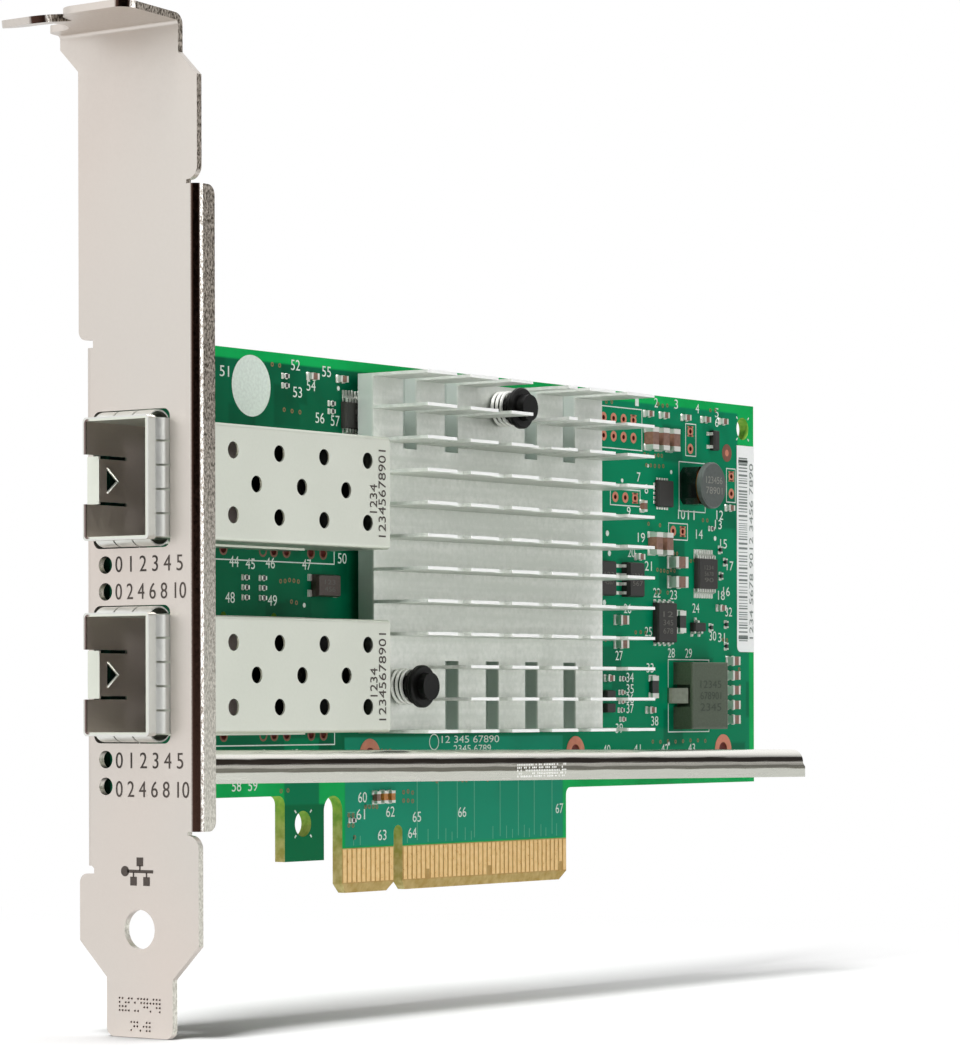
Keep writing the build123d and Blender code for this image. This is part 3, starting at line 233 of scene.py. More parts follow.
# %% [markdown]
# Under the cages, round their mouths and behind the bracket hardly any light reaches the
# lacquer, so it is painted darker there. The board's back keeps its own green, and the
# normal's Y tells the two faces apart.

# %% Shade on the lacquer
bracket_shade_end = -50.5
below_margin = 0.45
mouth_margin = 0.95
normal = add(tree, "ShaderNodeNewGeometry").outputs["Normal"]
facing = add(tree, "ShaderNodeSeparateXYZ", {0: normal}).outputs[1]
not_back = add(tree, "ShaderNodeMapRange", {0: facing, 1: 0.5, 2: 0.6, 3: 1.0, 4: 0.0}).outputs[0]
under = 0.0
for cage in ("cage_lower", "cage_upper"):
    low, high = corners(cage)
    below_zs = (low.z + below_margin, high.z - below_margin)
    mouth_zs = (low.z - mouth_margin, high.z + mouth_margin)
    below_cage = inside(tree, where, (past_left, high.x - 0.9), below_zs)
    at_mouth = inside(tree, where, (past_left, bracket_shade_end), mouth_zs)
    under = add(tree, "ShaderNodeMath", {
        0: under,
        1: add(tree, "ShaderNodeMath", {0: below_cage, 1: at_mouth}, operation="MAXIMUM").outputs[0]
    }, operation="MAXIMUM").outputs[0]
under = add(tree, "ShaderNodeMath", {0: under, 1: not_back}, operation="MULTIPLY").outputs[0]
behind = add(tree, "ShaderNodeMath", {
    0: inside(tree, where, (past_left, bracket_shade_end), (0, 62)), 1: not_back
}, operation="MULTIPLY").outputs[0]
lacquer = add(tree, "ShaderNodeMix", {0: behind, 6: lacquer, 7: "#0C5A3E"}, data_type="RGBA").outputs[2]
lacquer = add(tree, "ShaderNodeMix", {0: under, 6: lacquer, 7: "#02130C"}, data_type="RGBA").outputs[2]
tab_face = inside(tree, where, (-24.5, -15.0), (-3, 11.6))
lacquer = add(tree, "ShaderNodeMix", {0: tab_face, 6: lacquer, 7: "#006A40"}, data_type="RGBA").outputs[2]
print("nodes in the lacquer so far:", len(tree.nodes))

# %% [markdown]
# The tongue has no lacquer between and below its contacts, so tan glass fibre shows. Cut
# edges show it too. They turn from tan near the tongue to yellow green higher up, where
# the lacquer colours the light inside. A normal near the Y axis means a face, not an edge.

# %% Bare tongue and cut edges
height = add(tree, "ShaderNodeSeparateXYZ", {0: where}).outputs[2]
tongue_only = inside(tree, where, (-13, 40), (-1, tongue_bare_top), 0.05)
weave = add(tree, "ShaderNodeTexNoise", {"Vector": where, "Scale": grain(1.11), "Detail": 3.0}).outputs[0]
bare_tan = add(tree, "ShaderNodeMix", {
    0: add(tree, "ShaderNodeMapRange", {0: weave, 1: 0.3, 2: 0.7}).outputs[0],
    6: "#B59054", 7: "#C8A86E"}, data_type="RGBA").outputs[2]
lacquer = add(tree, "ShaderNodeMix", {0: tongue_only, 6: lacquer, 7: bare_tan}, data_type="RGBA").outputs[2]
is_face = add(tree, "ShaderNodeMapRange", {
    0: add(tree, "ShaderNodeMath", {0: facing}, operation="ABSOLUTE").outputs[0],
    1: 0.9, 2: 0.97}).outputs[0]
cut_low = add(tree, "ShaderNodeMix", {
    0: add(tree, "ShaderNodeMapRange", {0: weave, 1: 0.35, 2: 0.65}).outputs[0],
    6: "#B9A85E", 7: "#D8C98C"}, data_type="RGBA").outputs[2]
cut_high = add(tree, "ShaderNodeMix", {
    0: add(tree, "ShaderNodeMapRange", {0: weave, 1: 0.35, 2: 0.65}).outputs[0],
    6: "#68A63E", 7: "#98BE50"}, data_type="RGBA").outputs[2]
cut_edge = add(tree, "ShaderNodeMix", {
    0: add(tree, "ShaderNodeMapRange", {0: height, 1: 4 * MM, 2: 11 * MM}).outputs[0],
    6: cut_low, 7: cut_high}, data_type="RGBA").outputs[2]
# Painted shade: behind the bracket the cut edges are painted nearly black as well.
cut_edge = add(tree, "ShaderNodeMix", {0: behind, 6: cut_edge, 7: "#06241A"}, data_type="RGBA").outputs[2]
tree.links.new(add(tree, "ShaderNodeMix", {
    0: is_face, 6: cut_edge, 7: lacquer}, data_type="RGBA").outputs[2], shader.inputs["Base Color"])
roughness = add(tree, "ShaderNodeMapRange", {0: is_face, 1: 0.0, 2: 1.0, 3: 0.75, 4: 0.3}).outputs[0]
tree.links.new(roughness, shader.inputs["Roughness"])
bump = add(tree, "ShaderNodeBump", {"Height": cloud, "Strength": 0.12, "Distance": 0.02 * MM})
tree.links.new(bump.outputs[0], shader.inputs["Normal"])
dress(laminate, "circuit_board")
print("finishes so far:", len(bpy.data.materials))

# %% [markdown]
# ## Gold, copper and tin
# Edge contacts are nickel with a thin hard gold plate, satin rather than mirror bright.
# The rings round the ground holes are bare copper that has gone dull and pink. Solder and
# tinned leads are bright and a little lumpy, which a fine noise in the bump gives.

# %% Gold, copper and tin finishes
gold, tree, shader, where = new_finish("hard_gold_plate", "#E0B878", 1.0, 0.34)
rub = add(tree, "ShaderNodeTexNoise", {"Vector": where, "Scale": grain(0.667), "Detail": 2.0}).outputs[0]
tree.links.new(add(tree, "ShaderNodeMix", {
    0: rub, 6: "#E2B772", 7: "#FBDDA6"}, data_type="RGBA").outputs[2], shader.inputs["Base Color"])
tree.links.new(add(tree, "ShaderNodeMapRange", {0: rub, 1: 0.3, 2: 0.7, 3: 0.26, 4: 0.42}).outputs[0],
    shader.inputs["Roughness"])
dress(gold, "edge_contacts_front", "edge_contacts_back", "host_contacts_upper", "host_contacts_lower")

copper, tree, shader, where = new_finish("dull_bare_copper", "#D58F7C", 0.6, 0.5)
tarnish = add(tree, "ShaderNodeTexNoise", {
    "Vector": where, "Scale": grain(0.833), "Detail": 3.0}).outputs[0]
tree.links.new(add(tree, "ShaderNodeMix", {
    0: tarnish, 6: "#C0755C", 7: "#DC957C"}, data_type="RGBA").outputs[2], shader.inputs["Base Color"])
dress(copper, "copper_rings")

winding, tree, shader, where = new_finish("enamelled_copper_wire", "#B5723A", 1.0, 0.3)
turns = add(tree, "ShaderNodeTexWave", {
    "Vector": where, "Scale": grain(1.43)}, bands_direction="Y").outputs[0]
tree.links.new(add(tree, "ShaderNodeMix", {
    0: turns, 6: "#6B3416", 7: "#C98A4C"}, data_type="RGBA").outputs[2], shader.inputs["Base Color"])
dress(winding, "drum_winding")

tin, tree, shader, where = new_finish("reflowed_tin_solder", "#E4E5DE", 0.8, 0.42)
lumps = add(tree, "ShaderNodeTexNoise", {"Vector": where, "Scale": grain(0.4), "Detail": 2.0}).outputs[0]
bump = add(tree, "ShaderNodeBump", {"Height": lumps, "Strength": 0.35, "Distance": 0.05 * MM})
tree.links.new(bump.outputs[0], shader.inputs["Normal"])
dress(tin, "chip_leads", "chip_terminals")

strap_tin, tree, shader, where = new_finish("rolled_strap_tin", "#B4B9AC", 1.0, 0.4)
rolled = add(tree, "ShaderNodeTexNoise", {"Vector": where, "Scale": grain(0.667), "Detail": 2.0}).outputs[0]
tree.links.new(add(tree, "ShaderNodeMix", {
    0: rolled, 6: "#8F9487", 7: "#B9BEB0"}, data_type="RGBA").outputs[2], shader.inputs["Base Color"])
dress(strap_tin, "inductor_straps")
print("finishes so far:", len(bpy.data.materials))

# %% [markdown]
# ## Nickel plated steel sheet
# The bracket is mild steel sheet with a satin nickel plate. Its flat face shows one even
# warm grey. On the folded flange the plate is mottled, with dark and bright grains that run
# along it, and over them lies a painted reflection, dark towards the top and pale towards
# the foot. The fold is painted dark and the bead past it gets painted glints. A normal
# along -Y picks out the flange, and a noise stretched along Z makes the grains.

# %% The bracket's finish
nickel, tree, shader, where = new_finish("satin_nickel_on_steel", "#DCD6CC", 1.0, 0.36)
normal = add(tree, "ShaderNodeNewGeometry").outputs["Normal"]
facing = add(tree, "ShaderNodeSeparateXYZ", {0: normal})
sideways = facing.outputs[1]
on_flange = add(tree, "ShaderNodeMapRange", {0: sideways, 1: -0.98, 2: -0.8, 3: 1.0, 4: 0.0}).outputs[0]
turning = add(tree, "ShaderNodeMath", {0: facing.outputs[0], 1: sideways}, operation="MULTIPLY").outputs[0]
past_bend = add(tree, "ShaderNodeMapRange", {0: sideways, 1: -0.86, 2: -0.93}).outputs[0]
on_fold = add(tree, "ShaderNodeMath", {
    0: add(tree, "ShaderNodeMapRange", {0: turning, 1: 0.04, 2: 0.2}).outputs[0],
    1: add(tree, "ShaderNodeMath", {0: 1.0, 1: past_bend}, operation="SUBTRACT").outputs[0]
}, operation="MULTIPLY").outputs[0]
on_bead = add(tree, "ShaderNodeMath", {
    0: past_bend,
    1: add(tree, "ShaderNodeMapRange", {0: turning, 1: 0.03, 2: 0.1}).outputs[0]
}, operation="MULTIPLY").outputs[0]
stretched = add(tree, "ShaderNodeMapping", {"Vector": where, "Scale": (1.0, 1.0, 0.45)}).outputs[0]
grains = add(tree, "ShaderNodeTexNoise", {
    "Vector": stretched, "Scale": grain(0.2174), "Detail": 3.0, "Roughness": 0.7}).outputs[0]
grain_tone = add(tree, "ShaderNodeMapRange", {0: grains, 1: 0.4, 2: 0.62}).outputs[0]
# Painted reflection: the flange is painted dark at the top and pale towards the foot.
height = add(tree, "ShaderNodeSeparateXYZ", {0: where}).outputs[2]
reflection_fade = add(tree, "ShaderNodeMapRange", {0: height, 1: 8 * MM, 2: 60 * MM, 3: 1.0, 4: 0.0}).outputs[0]
flange_reflection_dark = add(tree, "ShaderNodeMix", {
    0: reflection_fade, 6: "#40382F", 7: "#B9B6AB"}, data_type="RGBA").outputs[2]
flange_reflection_light = add(tree, "ShaderNodeMix", {
    0: reflection_fade, 6: "#BAB1A6", 7: "#E4E2D8"}, data_type="RGBA").outputs[2]
flange_grain_and_reflection = add(tree, "ShaderNodeMix", {
    0: grain_tone, 6: flange_reflection_dark, 7: flange_reflection_light}, data_type="RGBA").outputs[2]
veil = add(tree, "ShaderNodeTexNoise", {"Vector": where, "Scale": grain(28.6), "Detail": 1.0}).outputs[0]
face_tone = add(tree, "ShaderNodeMix", {
    0: add(tree, "ShaderNodeMapRange", {0: veil, 1: 0.35, 2: 0.65}).outputs[0],
    6: "#D5CBC3", 7: "#D1CBC4"}, data_type="RGBA").outputs[2]
plate_tone = add(tree, "ShaderNodeMix", {
    0: on_flange, 6: face_tone, 7: flange_grain_and_reflection}, data_type="RGBA").outputs[2]
# Painted highlight: the bead past the fold gets bright and dark glints.
plate_tone = add(tree, "ShaderNodeMix", {
    0: on_bead, 6: plate_tone,
    7: add(tree, "ShaderNodeMix", {0: grain_tone, 6: "#8A8178", 7: "#FFFDF8"}, data_type="RGBA").outputs[2]
}, data_type="RGBA").outputs[2]
# Painted reflection: the fold is painted as a dark brown line.
tree.links.new(add(tree, "ShaderNodeMix", {
    0: on_fold, 6: plate_tone, 7: "#4A352D"}, data_type="RGBA").outputs[2], shader.inputs["Base Color"])
plate_grain = add(tree, "ShaderNodeTexNoise", {
    "Vector": where, "Scale": grain(0.385), "Detail": 2.0}).outputs[0]
satin = add(tree, "ShaderNodeMapRange", {0: plate_grain, 1: 0.3, 2: 0.7, 3: 0.32, 4: 0.42}).outputs[0]
polished = add(tree, "ShaderNodeMath", {
    0: add(tree, "ShaderNodeMath", {0: on_fold, 1: on_bead}, operation="MAXIMUM").outputs[0],
    1: 0.18}, operation="MULTIPLY").outputs[0]
tree.links.new(add(tree, "ShaderNodeMath", {0: satin, 1: polished}, operation="SUBTRACT").outputs[0],
    shader.inputs["Roughness"])
strength = add(tree, "ShaderNodeMath", {0: on_flange, 1: grains}, operation="MULTIPLY").outputs[0]
bump = add(tree, "ShaderNodeBump", {"Height": strength, "Strength": 0.5, "Distance": 0.05 * MM})
tree.links.new(bump.outputs[0], shader.inputs["Normal"])
dress(nickel, "bracket")
print("nodes in the bracket's finish:", len(tree.nodes))

# %% [markdown]
# The rail is the same steel, drawn through rollers and plated bright. It mirrors the room
# in level bands, which are painted in by their depth below its top edge, with a slight
# ripple from a noise that is stretched along the rail. The screws are zinc plated.

# %% Rail and screw finishes
rail_plate, tree, shader, where = new_finish("bright_nickel_on_steel", "#D6D3CA", 1.0, 0.22)
drawn = add(tree, "ShaderNodeMapping", {"Vector": where, "Scale": (0.04, 1.0, 1.0)}).outputs[0]
draw_lines = add(tree, "ShaderNodeTexNoise", {
    "Vector": drawn, "Scale": grain(0.455), "Detail": 2.0}).outputs[0]
tree.links.new(add(tree, "ShaderNodeMapRange", {
    0: draw_lines, 1: 0.3, 2: 0.7, 3: 0.16, 4: 0.3}).outputs[0], shader.inputs["Roughness"])
rail_low, rail_high = corners("support_rail")
rail_slope = math.tan(math.radians(0.52))
place = add(tree, "ShaderNodeSeparateXYZ", {0: where})
from_bracket = add(tree, "ShaderNodeMath", {
    0: place.outputs[0], 1: rail_low.x * MM}, operation="SUBTRACT").outputs[0]
droop = add(tree, "ShaderNodeMath", {0: from_bracket, 1: rail_slope}, operation="MULTIPLY").outputs[0]
depth = add(tree, "ShaderNodeMath", {
    0: add(tree, "ShaderNodeMath", {0: rail_high.z * MM, 1: droop}, operation="SUBTRACT").outputs[0],
    1: place.outputs[2]}, operation="SUBTRACT").outputs[0]
waves = add(tree, "ShaderNodeTexNoise", {"Vector": drawn, "Scale": grain(0.286), "Detail": 3.0}).outputs[0]
ripple = add(tree, "ShaderNodeMath", {
    0: add(tree, "ShaderNodeMath", {0: waves, 1: 0.5}, operation="SUBTRACT").outputs[0],
    1: 0.35 * MM}, operation="MULTIPLY").outputs[0]
depth = add(tree, "ShaderNodeMath", {0: depth, 1: ripple}, operation="ADD").outputs[0]
bands = add(tree, "ShaderNodeValToRGB", {
    0: add(tree, "ShaderNodeMapRange", {0: depth, 1: 0.0, 2: 5 * MM}).outputs[0]})
stops = (
    (0.2, "#F6F4EC"), (0.225, "#3E352E"), (0.33, "#4A433C"), (0.35, "#C6C3BA"),
    (0.43, "#B9B6AC"), (0.445, "#77756A"), (0.525, "#7C7A6E"), (0.55, "#E4E5DA"))
while len(bands.color_ramp.elements) < len(stops):
    bands.color_ramp.elements.new(0.5)
for element, (position, tone) in zip(bands.color_ramp.elements, stops):
    element.position = position
for element, (position, tone) in zip(bands.color_ramp.elements, stops):
    element.color = linear(tone)
tree.links.new(bands.outputs[0], shader.inputs["Base Color"])
dress(rail_plate, "support_rail")

screw_plate, tree, shader, where = new_finish("zinc_plated_steel", "#C9CBCC", 1.0, 0.3)
rub = add(tree, "ShaderNodeTexNoise", {"Vector": where, "Scale": grain(0.667), "Detail": 2.0}).outputs[0]
tree.links.new(add(tree, "ShaderNodeMapRange", {0: rub, 1: 0.3, 2: 0.7, 3: 0.22, 4: 0.42}).outputs[0],
    shader.inputs["Roughness"])
dress(screw_plate, "bracket_screws")
print("rail corners, mm:", tuple(round(v, 2) for v in rail_low), tuple(round(v, 2) for v in rail_high))

# %% [markdown]
# ## Cage sheet and spring sheet
# The cages are stamped from thin nickel silver, tumbled after stamping, which leaves an
# almost white satin skin with no direction. The collar fingers are brighter, because
# spring sheet is rolled smooth and tin plated.

# %% Cage and collar finishes
cage_skin, tree, shader, where = new_finish("tumbled_nickel_silver", "#D8DACF", 1.0, 0.42)
tumble = add(tree, "ShaderNodeTexNoise", {"Vector": where, "Scale": grain(0.333), "Detail": 3.0}).outputs[0]
tree.links.new(add(tree, "ShaderNodeMapRange", {0: tumble, 1: 0.3, 2: 0.7, 3: 0.38, 4: 0.5}).outputs[0],
    shader.inputs["Roughness"])
cloud = add(tree, "ShaderNodeTexNoise", {"Vector": where, "Scale": grain(16.7), "Detail": 1.0}).outputs[0]
cage_tone = add(tree, "ShaderNodeMix", {0: cloud, 6: "#D2D6CA", 7: "#E2E5DA"}, data_type="RGBA").outputs[2]
place = add(tree, "ShaderNodeSeparateXYZ", {0: where})
by_board = add(tree, "ShaderNodeMapRange", {0: place.outputs[1], 1: -1.7 * MM, 2: -1.3 * MM}).outputs[0]
outside_bracket = add(tree, "ShaderNodeMapRange", {
    0: place.outputs[0], 1: -61.6 * MM, 2: -61.8 * MM}).outputs[0]
normal = add(tree, "ShaderNodeNewGeometry").outputs["Normal"]
facing = add(tree, "ShaderNodeSeparateXYZ", {0: normal}).outputs[1]
inner_wall = add(tree, "ShaderNodeMath", {
    0: by_board,
    1: add(tree, "ShaderNodeMapRange", {0: facing, 1: -0.9, 2: -0.7, 3: 1.0, 4: 0.0}).outputs[0]
}, operation="MULTIPLY").outputs[0]
cage_tone = add(tree, "ShaderNodeMix", {
    0: inner_wall, 6: cage_tone, 7: "#ECDDD6"}, data_type="RGBA").outputs[2]
shaded = add(tree, "ShaderNodeMath", {0: by_board, 1: outside_bracket}, operation="MULTIPLY").outputs[0]
tree.links.new(add(tree, "ShaderNodeMix", {
    0: shaded, 6: cage_tone, 7: "#7E6D69"}, data_type="RGBA").outputs[2], shader.inputs["Base Color"])
dress(cage_skin, "cage_upper", "cage_lower")

spring_skin, tree, shader, where = new_finish("rolled_tin_plate", "#DADBD6", 1.0, 0.26)
rolled = add(tree, "ShaderNodeTexNoise", {"Vector": where, "Scale": grain(0.556), "Detail": 2.0}).outputs[0]
normal = add(tree, "ShaderNodeNewGeometry").outputs["Normal"]
facing = add(tree, "ShaderNodeSeparateXYZ", {0: normal}).outputs[1]
flat_band = add(tree, "ShaderNodeMapRange", {0: facing, 1: -0.999, 2: -0.98, 3: 0.3, 4: 0.0}).outputs[0]
sheen = add(tree, "ShaderNodeMath", {
    0: flat_band,
    1: add(tree, "ShaderNodeMapRange", {0: rolled, 1: 0.3, 2: 0.7, 3: 0.32, 4: 0.4}).outputs[0]
}, operation="ADD").outputs[0]
tree.links.new(sheen, shader.inputs["Roughness"])
dress(spring_skin, "emi_collar_upper", "emi_collar_lower")

spring_wire, tree, shader, where = new_finish("bright_spring_wire", "#F4F4F0", 0.7, 0.4)
dies = add(tree, "ShaderNodeTexNoise", {"Vector": where, "Scale": grain(0.25), "Detail": 2.0}).outputs[0]
tree.links.new(add(tree, "ShaderNodeMapRange", {0: dies, 1: 0.3, 2: 0.7, 3: 0.36, 4: 0.46}).outputs[0],
    shader.inputs["Roughness"])
dress(spring_wire, "pin_spring_upper", "pin_spring_lower")
print("finishes so far:", len(bpy.data.materials))

# %% [markdown]
# ## Clear anodised aluminium
# The heat sink is an extrusion, cut across and then etched and anodised without colour.
# Etching leaves a fine, even, slightly cloudy grey that scatters light, so roughness is
# high for a metal. Faint lines run along the fins, as the extrusion die leaves them. The
# deep channels carry painted shade, darker low down and paler higher up, and the top of the
# sink is painted a little darker too. The fins' tips are a painted highlight: clean white lines.

# %% The heat sink's finish
sink_tip = corners("heat_sink")[0].y
sink_face = sink_tip + 8.75
anodised, tree, shader, where = new_finish("clear_anodised_aluminium", "#EDF1EA", 0.6, 0.46)
etched = add(tree, "ShaderNodeTexNoise", {"Vector": where, "Scale": grain(0.625), "Detail": 3.0}).outputs[0]
along = add(tree, "ShaderNodeMapping", {"Vector": where, "Scale": (0.03, 1.0, 1.0)}).outputs[0]
die_lines = add(tree, "ShaderNodeTexNoise", {
    "Vector": along, "Scale": grain(1.11), "Detail": 2.0}).outputs[0]
tone = add(tree, "ShaderNodeMath", {0: etched, 1: die_lines}, operation="MULTIPLY").outputs[0]
skin = add(tree, "ShaderNodeMix", {
    0: add(tree, "ShaderNodeMapRange", {0: tone, 1: 0.15, 2: 0.4}).outputs[0],
    6: "#E6EAE3", 7: "#F8FAF5"}, data_type="RGBA").outputs[2]
# Painted shade: the deep channels darken where little light gets in.
channel_shade_ao = add(tree, "ShaderNodeAmbientOcclusion", {"Distance": 5 * MM}).outputs["AO"]
skin = add(tree, "ShaderNodeMix", {
    0: add(tree, "ShaderNodeMapRange", {0: channel_shade_ao, 1: 0.08, 2: 0.4}).outputs[0],
    6: "#A0A899", 7: skin}, data_type="RGBA").outputs[2]
place = add(tree, "ShaderNodeSeparateXYZ", {0: where})
# Painted light and shade: the channel floors are darker low down and paler higher up.
channel_light_by_height = add(tree, "ShaderNodeMapRange", {0: place.outputs[2], 1: 36 * MM, 2: 58 * MM}).outputs[0]
in_channel = add(tree, "ShaderNodeMapRange", {
    0: place.outputs[1], 1: sink_face * MM, 2: (sink_face + 0.3) * MM}).outputs[0]
skin = add(tree, "ShaderNodeMix", {
    0: in_channel, 6: skin,
    7: add(tree, "ShaderNodeMix", {0: channel_light_by_height, 6: "#B6C2B9", 7: "#DCE5DF"}, data_type="RGBA").outputs[2]
}, data_type="RGBA").outputs[2]
# Painted shade: the top of the sink is darkened a little, where the key lights it most.
top_shade_painted = add(tree, "ShaderNodeMapRange", {
    0: place.outputs[2], 1: 54 * MM, 2: 64 * MM, 3: 0.0, 4: 0.3}).outputs[0]
skin = add(tree, "ShaderNodeMix", {0: top_shade_painted, 6: skin, 7: "#8A9089"}, data_type="RGBA").outputs[2]
# Painted highlight: the fins' tips are painted near white and not metallic.
tip_highlight_painted = add(tree, "ShaderNodeMapRange", {
    0: place.outputs[1], 1: (sink_tip + 0.02) * MM, 2: (sink_tip + 0.06) * MM, 3: 1.0, 4: 0.0}).outputs[0]
tree.links.new(add(tree, "ShaderNodeMix", {
    0: tip_highlight_painted, 6: skin, 7: "#FDFEFC"}, data_type="RGBA").outputs[2], shader.inputs["Base Color"])
tree.links.new(add(tree, "ShaderNodeMapRange", {0: tip_highlight_painted, 1: 0.0, 2: 1.0, 3: 0.6, 4: 0.0}).outputs[0],
    shader.inputs["Metallic"])
tree.links.new(add(tree, "ShaderNodeMapRange", {0: etched, 1: 0.3, 2: 0.7, 3: 0.42, 4: 0.54}).outputs[0],
    shader.inputs["Roughness"])
bump = add(tree, "ShaderNodeBump", {"Height": etched, "Strength": 0.2, "Distance": 0.02 * MM})
tree.links.new(bump.outputs[0], shader.inputs["Normal"])
dress(anodised, "heat_sink")
print("the sink's base lies", round(board_front - sink_face, 2), "mm over the board")

# %% [markdown]
# ## Moulded plastics and chip epoxy
# Push pins are black nylon with a soft sheen. Chip packages are epoxy filled with silica
# and come out of the mould matte, with a grain of about a tenth of a millimetre. The
# sockets in the cages are a stiff black polymer, and lamps are clear mouldings.

# %% Plastic finishes
nylon, tree, shader, where = new_finish("moulded_black_nylon", "#080807", 0.0, 0.4, 1.3)
sink_marks = add(tree, "ShaderNodeTexNoise", {
    "Vector": where, "Scale": grain(1.43), "Detail": 2.0}).outputs[0]
tree.links.new(add(tree, "ShaderNodeMapRange", {
    0: sink_marks, 1: 0.3, 2: 0.7, 3: 0.3, 4: 0.48}).outputs[0], shader.inputs["Roughness"])
dress(nylon, "push_pin_upper", "push_pin_lower", "host_connector_upper", "host_connector_lower")

epoxy, tree, shader, where = new_finish("moulded_chip_epoxy", "#2B2A26", 0.0, 0.55, 1.5)
grit = add(tree, "ShaderNodeTexNoise", {"Vector": where, "Scale": grain(0.111), "Detail": 3.0}).outputs[0]
tree.links.new(add(tree, "ShaderNodeMix", {
    0: grit, 6: "#171613", 7: "#2A2925"}, data_type="RGBA").outputs[2], shader.inputs["Base Color"])
bump = add(tree, "ShaderNodeBump", {"Height": grit, "Strength": 0.3, "Distance": 0.03 * MM})
tree.links.new(bump.outputs[0], shader.inputs["Normal"])
dress(epoxy, "controller_chip", "driver_chip", "memory_chip", "power_chip", "monitor_chip")
dress(epoxy, "switch_chip", "regulator_chip", "diodes", "transistors")

lamp, tree, shader, where = new_finish("clear_lamp_moulding", "#D9DFC4", 0.0, 0.2, 1.5)
haze = add(tree, "ShaderNodeTexNoise", {"Vector": where, "Scale": grain(0.667)}).outputs[0]
tree.links.new(add(tree, "ShaderNodeMapRange", {0: haze, 1: 0.3, 2: 0.7, 3: 0.15, 4: 0.3}).outputs[0],
    shader.inputs["Roughness"])
dress(lamp, "status_lamps")

pad_rubber, tree, shader, where = new_finish("filled_silicone_pad", "#8C9196", 0.0, 0.8, 1.41)
filler = add(tree, "ShaderNodeTexNoise", {"Vector": where, "Scale": grain(0.2)}).outputs[0]
tree.links.new(add(tree, "ShaderNodeMix", {
    0: filler, 6: "#7D8287", 7: "#9BA0A4"}, data_type="RGBA").outputs[2], shader.inputs["Base Color"])
dress(pad_rubber, "thermal_pad")
print("finishes so far:", len(bpy.data.materials))

# %% [markdown]
# ## Fired ceramics and ferrite
# Chip capacitors are fired ceramic, brown and slightly glassy. Resistors carry a black
# glaze. The drum's ferrite is dark grey with a waxy lacquer, and the power inductor is a
# pressed block with a grey green coat that shows its powder grain.

# %% Ceramic and ferrite finishes
def ceramic(name, dark, light, roughness, grit):
    """A fired or pressed body: two close tones, in grains as wide as the grit in millimetres."""
    finish, tree, shader, where = new_finish(name, dark, 0.0, roughness, 1.6)
    speckle = add(tree, "ShaderNodeTexNoise", {
        "Vector": where, "Scale": grain(grit), "Detail": 3.0}).outputs[0]
    grained = add(tree, "ShaderNodeMix", {
        0: add(tree, "ShaderNodeMapRange", {0: speckle, 1: 0.3, 2: 0.7}).outputs[0],
        6: dark, 7: light}, data_type="RGBA").outputs[2]
    tree.links.new(grained, shader.inputs["Base Color"])
    bump = add(tree, "ShaderNodeBump", {"Height": speckle, "Strength": 0.15, "Distance": 0.02 * MM})
    tree.links.new(bump.outputs[0], shader.inputs["Normal"])
    return finish


dress(ceramic("fired_brown_ceramic", "#6E4E40", "#84614F", 0.42, 0.5), "small_capacitors", "tall_capacitors")
dress(ceramic("black_resistor_glaze", "#161616", "#262625", 0.35, 0.3), "resistors")
dress(ceramic("amber_fuse_ceramic", "#A8641F", "#C98434", 0.4, 0.4), "fuses")
dress(ceramic("brown_crystal_package", "#33261F", "#463730", 0.45, 0.3), "crystal")
dress(ceramic("coated_power_ferrite", "#37442F", "#43503C", 0.5, 0.25), "power_inductor")

drum, tree, shader, where = new_finish("lacquered_drum_ferrite", "#2A2E2A", 0.0, 0.35, 1.6)
depth = add(tree, "ShaderNodeSeparateXYZ", {0: where}).outputs[1]
drum_top = corners("drum_core")[0].y
on_disc = add(tree, "ShaderNodeMapRange", {
    0: depth, 1: (drum_top + 1.0) * MM, 2: (drum_top + 1.1) * MM, 3: 1.0, 4: 0.0}).outputs[0]
speckle = add(tree, "ShaderNodeTexNoise", {"Vector": where, "Scale": grain(0.4), "Detail": 3.0}).outputs[0]
disc_tone = add(tree, "ShaderNodeMix", {
    0: speckle, 6: "#3A403C", 7: "#505854"}, data_type="RGBA").outputs[2]
tree.links.new(add(tree, "ShaderNodeMix", {
    0: on_disc, 6: "#060706", 7: disc_tone}, data_type="RGBA").outputs[2], shader.inputs["Base Color"])
tree.links.new(add(tree, "ShaderNodeMapRange", {0: on_disc, 1: 0.0, 2: 1.0, 3: 0.24, 4: 0.45}).outputs[0],
    shader.inputs["Roughness"])
dress(drum, "drum_core")
print("finishes so far:", len(bpy.data.materials))

# %% [markdown]
# ## Printing
# White marks on the board are screen printed epoxy ink, about 0.15 mm wide at the lines.
# Each mark is a flat shape laid just above its face. A mark is drawn in two directions,
# right and up, and a small function turns those into the card's own X, Y and Z, so the
# same shapes serve the board, the bracket and the cages. Marks of one kind are one piece.

# %% Flat shapes for the marks
def bar(left, low, right, high):
    return [(left, low), (right, low), (right, high), (left, high)], [(0, 1, 2, 3)]


def disc(x, y, radius, sides=28):
    angles = [i * math.tau / sides for i in range(sides)]
    rim = [(x + radius * math.cos(a), y + radius * math.sin(a)) for a in angles]
    return rim, [tuple(range(sides))]


def ring(x, y, inner, outer, sides=32):
    angles = [i * math.tau / sides for i in range(sides)]
    points = [(x + r * math.cos(a), y + r * math.sin(a)) for r in (inner, outer) for a in angles]
    faces = [(i, (i + 1) % sides, sides + (i + 1) % sides, sides + i) for i in range(sides)]
    return points, [tuple(reversed(face)) for face in faces]


def outline(left, low, right, high, width=0.15):
    """Four bars round a rectangle."""
    return [
        bar(left, low, right, low + width), bar(left, high - width, right, high),
        bar(left, low + width, left + width, high - width),
        bar(right - width, low + width, right, high - width)]


